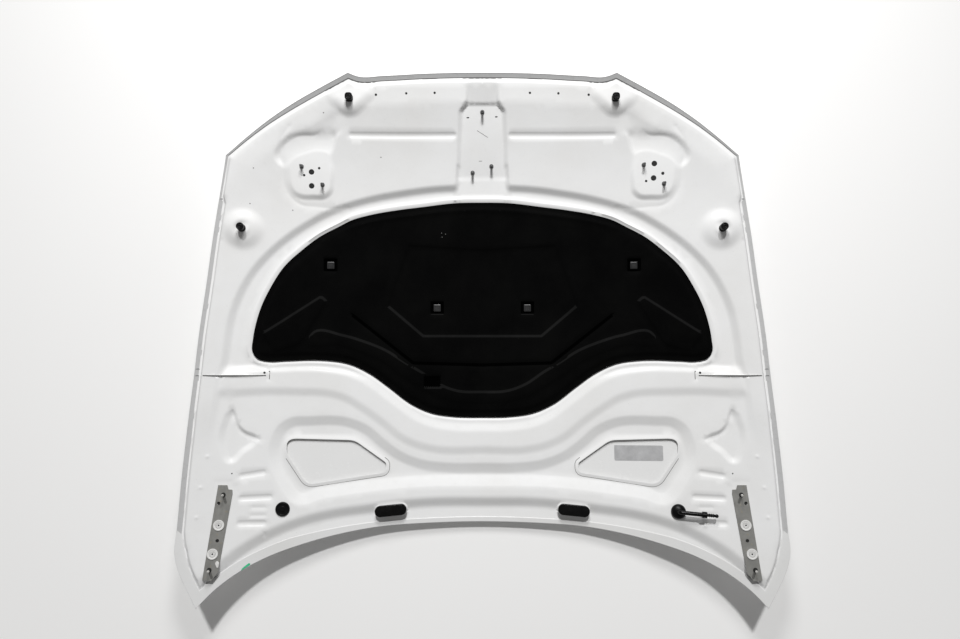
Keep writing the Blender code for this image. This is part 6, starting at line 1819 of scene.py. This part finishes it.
def buffers():
    front, side_pads = front_buffer_pad(), side_buffer_pad()
    for side, sign in SIDES:
        origin, normal = on_pad(front, (front.x, front.y), sign)
        buffer("front_buffer_" + side, origin, normal, FRONT_BUFFER_RADIUS, FRONT_BUFFER_HEIGHT,
               BUFFER_SQUARENESS)
        origin, normal = on_pad(side_pads, (side_pads.x, side_pads.y), sign)
        buffer("side_buffer_" + side, origin, normal, SIDE_BUFFER_RADIUS, SIDE_BUFFER_HEIGHT)


def latch_studs():
    for side, sign in SIDES:
        for number, share in enumerate(LATCH_STUD_SHARES[side], 1):
            origin, normal = on_pad(side_pad(), plan(share), sign)
            stud("latch_stud_%s_%d" % (side, number), origin, normal, LATCH_STUD_LENGTH)
    for number, share in enumerate(CENTRE_LATCH_STUD_SHARES, 1):
        origin, normal = on_pad(centre_pad(), plan(share), 1)
        stud("centre_latch_stud_%d" % number, origin, normal, LATCH_STUD_LENGTH)


def plate_piece(name, look, nodes, loop, thickness, origin, normal, holes=()):
    """Flat plate from a plan loop, with round holes and softened upper edges."""
    outer = [tuple(p) for p in loop]
    cloud = Cloud([outer] + [list(h) for h in holes])
    inward = moved(np.array(outer), EDGE_ROUNDING)
    plan_points, faces = triangulated(cloud.fixed, cloud.edges, outer, holes)
    top = plan_points.copy()
    for k, place in enumerate(outer):
        nearest = int(np.argmin(np.abs(plan_points - np.array(place)).max(axis=1)))
        top[nearest] = inward[k]
    count = len(plan_points)
    corners = [(x, y, thickness) for x, y in top]
    corners += [(x, y, thickness - EDGE_ROUNDING) for x, y in plan_points]
    corners += [(x, y, 0.0) for x, y in plan_points]
    polygons = [tuple(int(i) for i in f) for f in faces]
    polygons += [tuple(int(i) + 2 * count for i in reversed(f)) for f in faces]
    for a, b in rim_edges(faces):
        polygons += [(a, a + count, b + count, b), (a + count, a + 2 * count, b + 2 * count, b + count)]
    return shown(name, placed(corners, origin, normal), polygons, look, nodes, EDGE_SMOOTH)


def hinge_parts():
    pad = hinge_pad()
    for side, sign in SIDES:
        loop = [((x - pad.x) * sign, y - pad.y) for x, y in hinge_plate_loop()]
        holes = []
        for share in HINGE_HOLE_SHARES:
            x, y = plan(share)
            holes.append(ring_points(((x - pad.x) * sign, y - pad.y), HINGE_HOLE_RADIUS, HOLE_SIDES))
        centre, normal = on_pad(pad, (pad.x, pad.y), sign)
        plate = "hinge_plate_" + side
        plate_piece(plate + "_look", PLATE_LOOK, [plate], loop, HINGE_PLATE_SHEET,
                    centre + normal * SEAT_GAP, normal, holes)
        top = normal * (SEAT_GAP + HINGE_PLATE_SHEET)
        mark = HINGE_HOLE_RADIUS * HOLE_MARK_SHARE
        for number, share in enumerate(HINGE_HOLE_SHARES, 1):
            origin, _ = on_pad(pad, plan(share), sign)
            # A dark disc of painted shade in each hole of the plate.
            turned_piece("hinge_hole_%s_%d" % (side, number), HOLE_SHADE_LOOK, [],
                         [(mark, 0.0), (mark, HOLE_MARK_THICKNESS)], HOLE_SIDES,
                         origin + normal * HOLE_MARK_THICKNESS, normal)
        for number, share in enumerate(HINGE_DISC_SHARES, 1):
            origin, _ = on_pad(pad, plan(share), sign)
            disc("hinge_disc_%s_%d" % (side, number), origin + top, normal)
        for number, share in enumerate(HINGE_STUD_SHARES, 1):
            origin, _ = on_pad(pad, plan(share), sign)
            stud("hinge_stud_%s_%d" % (side, number), origin + top, normal, HINGE_STUD_LENGTH, True)


def disc(node, origin, normal):
    """Flat disc with rings pressed into its face and a small dimple in its middle."""
    rim = HINGE_DISC_RADIUS - HINGE_DISC_RIM
    high, low = HINGE_DISC_THICKNESS, HINGE_DISC_THICKNESS - HINGE_DISC_STEP
    (ring_out, ring_top), (ring_end, ring_in) = DISC_RING_SHARES
    profile = [(HINGE_DISC_RADIUS, 0.0), (HINGE_DISC_RADIUS, high), (rim, high), (rim, low),
               (rim * ring_out, low), (rim * ring_top, high), (rim * ring_end, high), (rim * ring_in, low),
               (rim * DISC_LOW_SHARE, low), (HINGE_DISC_DIMPLE, low), (HINGE_DISC_DIMPLE, HINGE_DISC_STEP)]
    made = turned_piece(node + "_look", PALE_LOOK, [node], rounded(profile, DISC_ROUNDING),
                        ROUND_SIDES, origin + normal * SEAT_GAP, normal)
    # The dimple and the pressed rings take painted shade: dark in the dimple, grey in the rings' grooves.
    choices = []
    for face in made.data.polygons:
        away = face.center - origin
        radius = (away - normal * away.dot(normal)).length
        in_groove = any(abs(radius - rim * at) < rim * reach for at, reach in DISC_GROOVE_SHARES)
        choices.append(1 if radius < HINGE_DISC_DIMPLE * DISC_DARK_SHARE else (2 if in_groove else 0))
    with_looks(made, [HOLE_SHADE_LOOK, DISC_GROOVE_SHADE_LOOK], choices)


def sealer_blotch():
    """A dab of white sealer by the lower stud of the left hinge plate."""
    pad = hinge_pad()
    origin, normal = on_pad(pad, plan(BLOTCH_SHARES), -1)
    loop = []
    for angle in np.linspace(0, 2 * math.pi, SWEPT_SIDES, endpoint=False):
        lobe = 1 + BLOTCH_LOBE_SHARE * math.sin(BLOTCH_LOBES * angle)
        loop.append((BLOTCH_WIDTH * math.cos(angle) * lobe, BLOTCH_LENGTH * math.sin(angle)))
    inner = [(u * BLOTCH_TOP_SHARE, v * BLOTCH_TOP_SHARE) for u, v in loop]
    stacked("sealer_blotch", BLOTCH_LOOK, [],
            [(loop, 0.0), (loop, HOLE_MARK_THICKNESS), (inner, MARK_STEP)],
            origin + normal * (SEAT_GAP + HINGE_PLATE_SHEET), normal, BLOTCH_HEADING)


def liner_clips():
    """Square clip heads in the liner's recesses, with stems through the liner and the panel."""
    half = CLIP_HEAD / 2
    for number, (share, sign) in enumerate([(s, g) for s in CLIP_SHARES for _, g in SIDES], 1):
        x, y = plan(share)
        level = TRAY_LEVEL + LINER_SEAT_GAP + LINER_EDGE_THICKNESS
        origin, normal = seat_of((x * sign, y), level)
        node = "liner_clip_%d" % number
        stem = ring_points((0.0, 0.0), CLIP_STEM_RADIUS, CLIP_STEM_SIDES)
        layers = [(stem, -CLIP_STEM_LENGTH), (stem, 0.0)]
        bevel = CLIP_CHAMFER * CLIP_BEVEL_SHARE
        for inset, level in ((0.0, 0.0), (0.0, CLIP_HEIGHT - CLIP_CHAMFER), (bevel, CLIP_HEIGHT - bevel),
                             (CLIP_CHAMFER, CLIP_HEIGHT)):
            layers.append((soft_square(half - inset, CLIP_CORNER), level))
        for inset, level in ((0.0, CLIP_HEIGHT), (CLIP_DIP_SLOPE, CLIP_HEIGHT - CLIP_DIP)):
            layers.append((soft_square(half * CLIP_DIP_SHARE - inset, CLIP_DIP_CORNER), level))
        stacked(node + "_look", CLIP_LOOK, [node], layers, origin + normal * SEAT_GAP, normal)


def soft_square(half, radius):
    """A square of 32 points with rounded corners."""
    points = []
    for corner in range(4):
        turn = math.pi / 2 * corner
        for k in range(8):
            angle = math.pi / 2 * k / 7
            x, y = half - radius + radius * math.cos(angle), half - radius + radius * math.sin(angle)
            points.append((x * math.cos(turn) - y * math.sin(turn), x * math.sin(turn) + y * math.cos(turn)))
    return points


def washer_parts():
    for side, sign in SIDES:
        x, y = plan(NOZZLE_SHARES)
        origin, normal = seat_of((x * sign, y), REAR_LEVEL)
        layers = []
        for k in range(6):
            angle = math.pi / 2 * k / 5
            inset = NOZZLE_CHAMFER * (1 - math.cos(angle))
            oval = oval_points(NOZZLE_HALF_LENGTH - inset, NOZZLE_HALF_WIDTH - inset, ROUND_SIDES)
            layers.append((oval, NOZZLE_HEIGHT - NOZZLE_CHAMFER * (1 - math.sin(angle))))
        full = oval_points(NOZZLE_HALF_LENGTH, NOZZLE_HALF_WIDTH, ROUND_SIDES)
        node = "washer_nozzle_" + side
        stacked(node + "_look", PLASTIC_LOOK, [node], [(full, 0.0)] + layers,
                origin + normal * SEAT_GAP, normal, -NOZZLE_HEADING * sign)
    origin, normal = seat_of(plan(PLUG_SHARES), REAR_LEVEL)
    inner = PLUG_RADIUS - 2 * PLUG_RIM
    profile = [(PLUG_RADIUS, 0.0), (PLUG_RADIUS, PLUG_RIM), (PLUG_RADIUS - PLUG_RIM, PLUG_HEIGHT),
               (inner, PLUG_HEIGHT), (inner, PLUG_HEIGHT - PLUG_RIM)]
    profile += [(inner * out, PLUG_HEIGHT - PLUG_RIM * down) for out, down in PLUG_DIP_SHARES]
    turned_piece("round_plug_look", RUBBER_LOOK, ["round_plug"],
                 rounded(profile, PLUG_ROUNDING), ROUND_SIDES, origin + normal * SEAT_GAP, normal)
    elbow_parts()


def elbow_parts():
    """Grommet, the elbow that comes out of it, and the barbed coupling at the elbow's end."""
    origin, normal = seat_of(plan(GROMMET_SHARES), REAR_LEVEL)
    origin = origin + normal * SEAT_GAP
    shoulder = (GROMMET_RADIUS + GROMMET_TOP_RADIUS) / 2
    profile = [(GROMMET_RADIUS, 0.0), (GROMMET_RADIUS, GROMMET_HEIGHT / 3),
               (shoulder + PLUG_RIM, GROMMET_HEIGHT * 2 / 3), (GROMMET_TOP_RADIUS, GROMMET_HEIGHT)]
    turned_piece("hose_grommet_look", RUBBER_LOOK, ["hose_grommet"],
                 rounded(profile, GROMMET_ROUNDING), ROUND_SIDES, origin, normal)
    foot = GROMMET_HEIGHT + SEAT_GAP
    axis = foot + ELBOW_RISE
    turn = ELBOW_RADIUS * ELBOW_TURN_SHARE
    quarter = np.linspace(0, math.pi / 2, 9)
    bend = [(0.0, foot)]
    bend += [(turn * (1 - math.cos(a)), axis - turn + turn * math.sin(a)) for a in quarter]
    bend += [(ELBOW_LENGTH, axis)]
    swept("washer_elbow_look", PLASTIC_LOOK, ["washer_elbow"], bend,
          [ELBOW_RADIUS] * len(bend), SWEPT_SIDES, origin, normal, ELBOW_HEADING)
    start = ELBOW_LENGTH + SEAT_GAP
    neck = start + COUPLING_LENGTH
    tail = neck + COUPLING_TAIL_LENGTH
    barbs = [(start, COUPLING_RADIUS - COUPLING_EDGE), (start + COUPLING_EDGE, COUPLING_RADIUS),
             (neck - COUPLING_EDGE, COUPLING_RADIUS), (neck, COUPLING_RADIUS - COUPLING_EDGE),
             (neck + COUPLING_BARB, COUPLING_TAIL_RADIUS)]
    for k in (1, 2, 3):
        at = neck + COUPLING_TAIL_LENGTH * k / 4
        barbs += [(at, COUPLING_TAIL_RADIUS), (at + COUPLING_BARB, COUPLING_TAIL_RADIUS + COUPLING_BARB),
                  (at + 2 * COUPLING_BARB, COUPLING_TAIL_RADIUS)]
    for k in range(BALL_STEPS + 1):
        angle = math.pi * (BALL_NECK_SHARE + (BALL_END_SHARE - BALL_NECK_SHARE) * k / BALL_STEPS)
        barbs.append((tail + COUPLING_BALL_RADIUS * (1 - math.cos(angle)),
                      COUPLING_BALL_RADIUS * math.sin(angle)))
    path = [(out, axis) for out, _ in barbs]
    swept("washer_coupling_look", PLASTIC_LOOK, ["washer_coupling"], path,
          [radius for _, radius in barbs], SWEPT_SIDES, origin, normal, ELBOW_HEADING)


# Marks and plates that lie on the sheets

def on_skin(name, look, loop, lift, thickness, panel_stack):
    """A thin patch that follows the skin, made of a fine grid in its outline."""
    loop = np.array(loop)
    closed = resampled(loop)
    cloud = Cloud([closed])
    cloud.add(loop)
    plan_points, faces = cloud.triangles(closed, [], [(PATCH_FIELD, anywhere)])
    low = skin_height(plan_points) + panel_stack + lift
    return sheet_piece(name, look, plan_points, faces, low + thickness, low, [])


def on_panel(name, look, loop, forms, lift=GREEN_MARK_LIFT):
    """A thin patch that follows the panel's upper face."""
    closed = np.array(loop)
    cloud = Cloud([closed])
    cloud.add(closed[:1])
    plan_points, faces = cloud.triangles(closed, [], [])
    low = fine_panel_top(plan_points, forms) + lift
    return sheet_piece(name, look, plan_points, faces, low + GREEN_MARK_LIFT, low, [])


def on_side(strip, sign):
    """A strip of the right side, or its mirror image where the sign is -1."""
    return strip if sign > 0 else strip[::-1] * np.array([-1.0, 1.0])


def ribbon(line, width):
    """A narrow closed strip along a line."""
    return np.vstack([moved(line, width / 2, False), moved(line, -width / 2, False)[::-1]])


def opening_creases(forms):
    """Painted shade: a fine grey line for the shade of the crease round the sides and the rear of each large
    opening.
    """
    loop = moved(forms.opening, -CREASE_OFFSET)
    low = loop[:, 1] < CREASE_START_SHARE * HALF_LENGTH
    first = next(k for k in range(len(loop)) if low[k] and not low[k - 1])
    line = np.roll(loop, -first, axis=0)[np.roll(low, -first)]
    for side, sign in SIDES:
        on_panel("opening_crease_" + side, CREASE_SHADE_LOOK, on_side(ribbon(line, CREASE_WIDTH), sign), forms)


def extra_holes(forms):
    """Painted shade: dark floors under the latch holes and dark discs for the small holes round the hinge
    plates; and small bare marks by the slits.
    """
    for side, sign in SIDES:
        for number, (place, radius) in enumerate(latch_holes(side, sign), 1):
            loop = ring_points(place, radius * HOLE_MARK_SHARE, HOLE_SIDES)
            on_panel("latch_hole_%s_%d" % (side, number), HOLE_SHADE_LOOK, loop, forms,
                     -PANEL_SHEET * HOLE_MARK_DEPTH_SHARE)
        for name, (share, radius, sides) in PLATE_HOLES.items():
            x, y = plan(share)
            on_panel(name + side, HOLE_SHADE_LOOK, ring_points((x * sign, y), radius, sides), forms)
        for number, (start, end) in enumerate(BRACKET_LINES, 1):
            strip = on_side(np.array(streak(start, end, BRACKET_WIDTH)), sign)
            on_panel("slit_mark_%s_%d" % (side, number), CHIP_LOOK, strip, forms)


def streak(start, end, width):
    """A narrow closed strip between two places."""
    start, end = np.array(plan(start)), np.array(plan(end))
    along = (end - start) / np.linalg.norm(end - start)
    across_line = np.array([-along[1], along[0]]) * width / 2
    count = max(2, int(np.linalg.norm(end - start) / FINE_EDGE))
    line = [start + (end - start) * k / count for k in range(count + 1)]
    return [p - across_line for p in line] + [p + across_line for p in reversed(line)]


def small_marks(forms):
    """Chips and scratches in the panel's paint, and the pad's slots as dark ovals of painted shade."""
    for number, share in enumerate(SMALL_MARK_SHARES, 1):
        loop = ring_points(plan(share), SMALL_MARK_RADIUS, MARK_SIDES)
        on_panel("paint_chip_%d" % number, CHIP_LOOK, loop, forms)
    for number, (x, y) in enumerate(plan_list(PAD_SLOT_SHARES), 1):
        oval = [(x + u, y + v) for u, v in oval_points(PAD_SLOT_HALF_LENGTH, PAD_SLOT_HALF_WIDTH, 16)]
        on_panel("pad_slot_%d" % number, HOLE_SHADE_LOOK, oval, forms)
    for number, (start, end) in enumerate(SCRATCH_SHARES, 1):
        on_panel("paint_scratch_%d" % number, CHIP_LOOK, streak(start, end, SCRATCH_WIDTH), forms)


def hem_ticks():
    """Short dark seams across the grey hem at the slit's ends and by the side corner."""
    outline = outline_loop(FINE_EDGE)
    beside = (outline[:, 0] > HALF_WIDTH / 2) & (outline[:, 1] < HEM_CORNER_SHARE[1] * HALF_LENGTH)
    side_line = outline[beside]
    for number, share in enumerate(HEM_TICK_SHARES, 1):
        row = share * HALF_LENGTH
        edge = side_line[int(np.argmin(np.abs(side_line[:, 1] - row))), 0]
        for side, sign in SIDES:
            xs = [sign * (edge - HEM_LINE_WIDTH), sign * (edge - HEM_WIDTH)]
            corners = [(min(xs), row - TICK_WIDTH / 2), (max(xs), row - TICK_WIDTH / 2),
                       (max(xs), row + TICK_WIDTH / 2), (min(xs), row + TICK_WIDTH / 2)]
            on_skin("hem_tick_%s_%d" % (side, number), HEM_SEAM_AND_SHADE_LOOK, corners,
                    GREEN_MARK_LIFT, GREEN_MARK_LIFT, HEM_STACK)


def marks():
    on_skin("label_plate", LABEL_LOOK, plan_list(LABEL_SHARES), LABEL_LIFT,
            LABEL_THICKNESS, SKIN_SHEET)
    on_skin("green_mark", GREEN_LOOK, plan_list(GREEN_MARK_SHARES), GREEN_MARK_LIFT,
            GREEN_MARK_THICKNESS, HEM_STACK)


# Floor, light and camera

def stage_and_light():
    mesh = bpy.data.meshes.new("floor")
    half = FLOOR_SIZE / 2
    mesh.from_pydata([(-half, -half, -FLOOR_DROP), (half, -half, -FLOOR_DROP), (half, half, -FLOOR_DROP),
                      (-half, half, -FLOOR_DROP)], [], [(0, 1, 2, 3)])
    floor = bpy.data.objects.new("floor", mesh)
    mesh.materials.append(floor_material())
    bpy.context.collection.objects.link(floor)
    world = bpy.data.worlds.new("studio")
    world.use_nodes = True
    world.node_tree.nodes["Background"].inputs["Color"].default_value = (*SKY_COLOUR, 1.0)
    world.node_tree.nodes["Background"].inputs["Strength"].default_value = SKY_STRENGTH
    bpy.context.scene.world = world
    light = bpy.data.lights.new("soft_sun", "SUN")
    light.energy = SUN_STRENGTH
    light.angle = math.radians(SUN_ANGLE)
    lamp = bpy.data.objects.new("soft_sun", light)
    lamp.rotation_euler = (math.radians(SUN_ELEVATION - 90.0), 0.0, math.radians(SUN_HEADING))
    bpy.context.collection.objects.link(lamp)
    light = bpy.data.lights.new("front_fill", "AREA")
    light.shape = "DISK"
    light.size = FILL_SIZE
    light.energy = FILL_POWER
    lamp = bpy.data.objects.new("front_fill", light)
    lamp.location = FILL_PLACE
    lamp.rotation_euler = (Vector(FILL_TARGET) - Vector(FILL_PLACE)).to_track_quat("-Z", "Y").to_euler()
    bpy.context.collection.objects.link(lamp)


def camera():
    lens = bpy.data.cameras.new("camera")
    lens.lens = CAMERA_LENS
    lens.sensor_width = CAMERA_SENSOR
    lens.shift_x, lens.shift_y = CAMERA_SHIFT
    lens.clip_end = CAMERA_REACH
    made = bpy.data.objects.new("camera", lens)
    made.location = CAMERA_PLACE
    made.rotation_euler = (CAMERA_TILT, 0.0, 0.0)
    bpy.context.collection.objects.link(made)
    bpy.context.scene.camera = made
    bpy.context.scene.view_settings.view_transform = "Standard"


def inner_plates():
    """The plates behind the latch pads keep their CAD shape and get a metal look."""
    for name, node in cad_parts.items():
        if name.startswith("latch_reinforcement"):
            node.data.materials.clear()
            node.data.materials.append(STEEL_LOOK)


def build():
    forms = Forms(FINE_LINE, FINE_DETAIL, FINE_EDGE)
    fine_skin(forms)
    fine_panel(forms)
    fine_liner(forms)
    liner_clips()
    buffers()
    latch_studs()
    hinge_parts()
    washer_parts()
    sealer_blotch()
    marks()
    small_marks(forms)
    opening_creases(forms)
    extra_holes(forms)
    hem_ticks()
    inner_plates()
    stage_and_light()
    camera()


build()
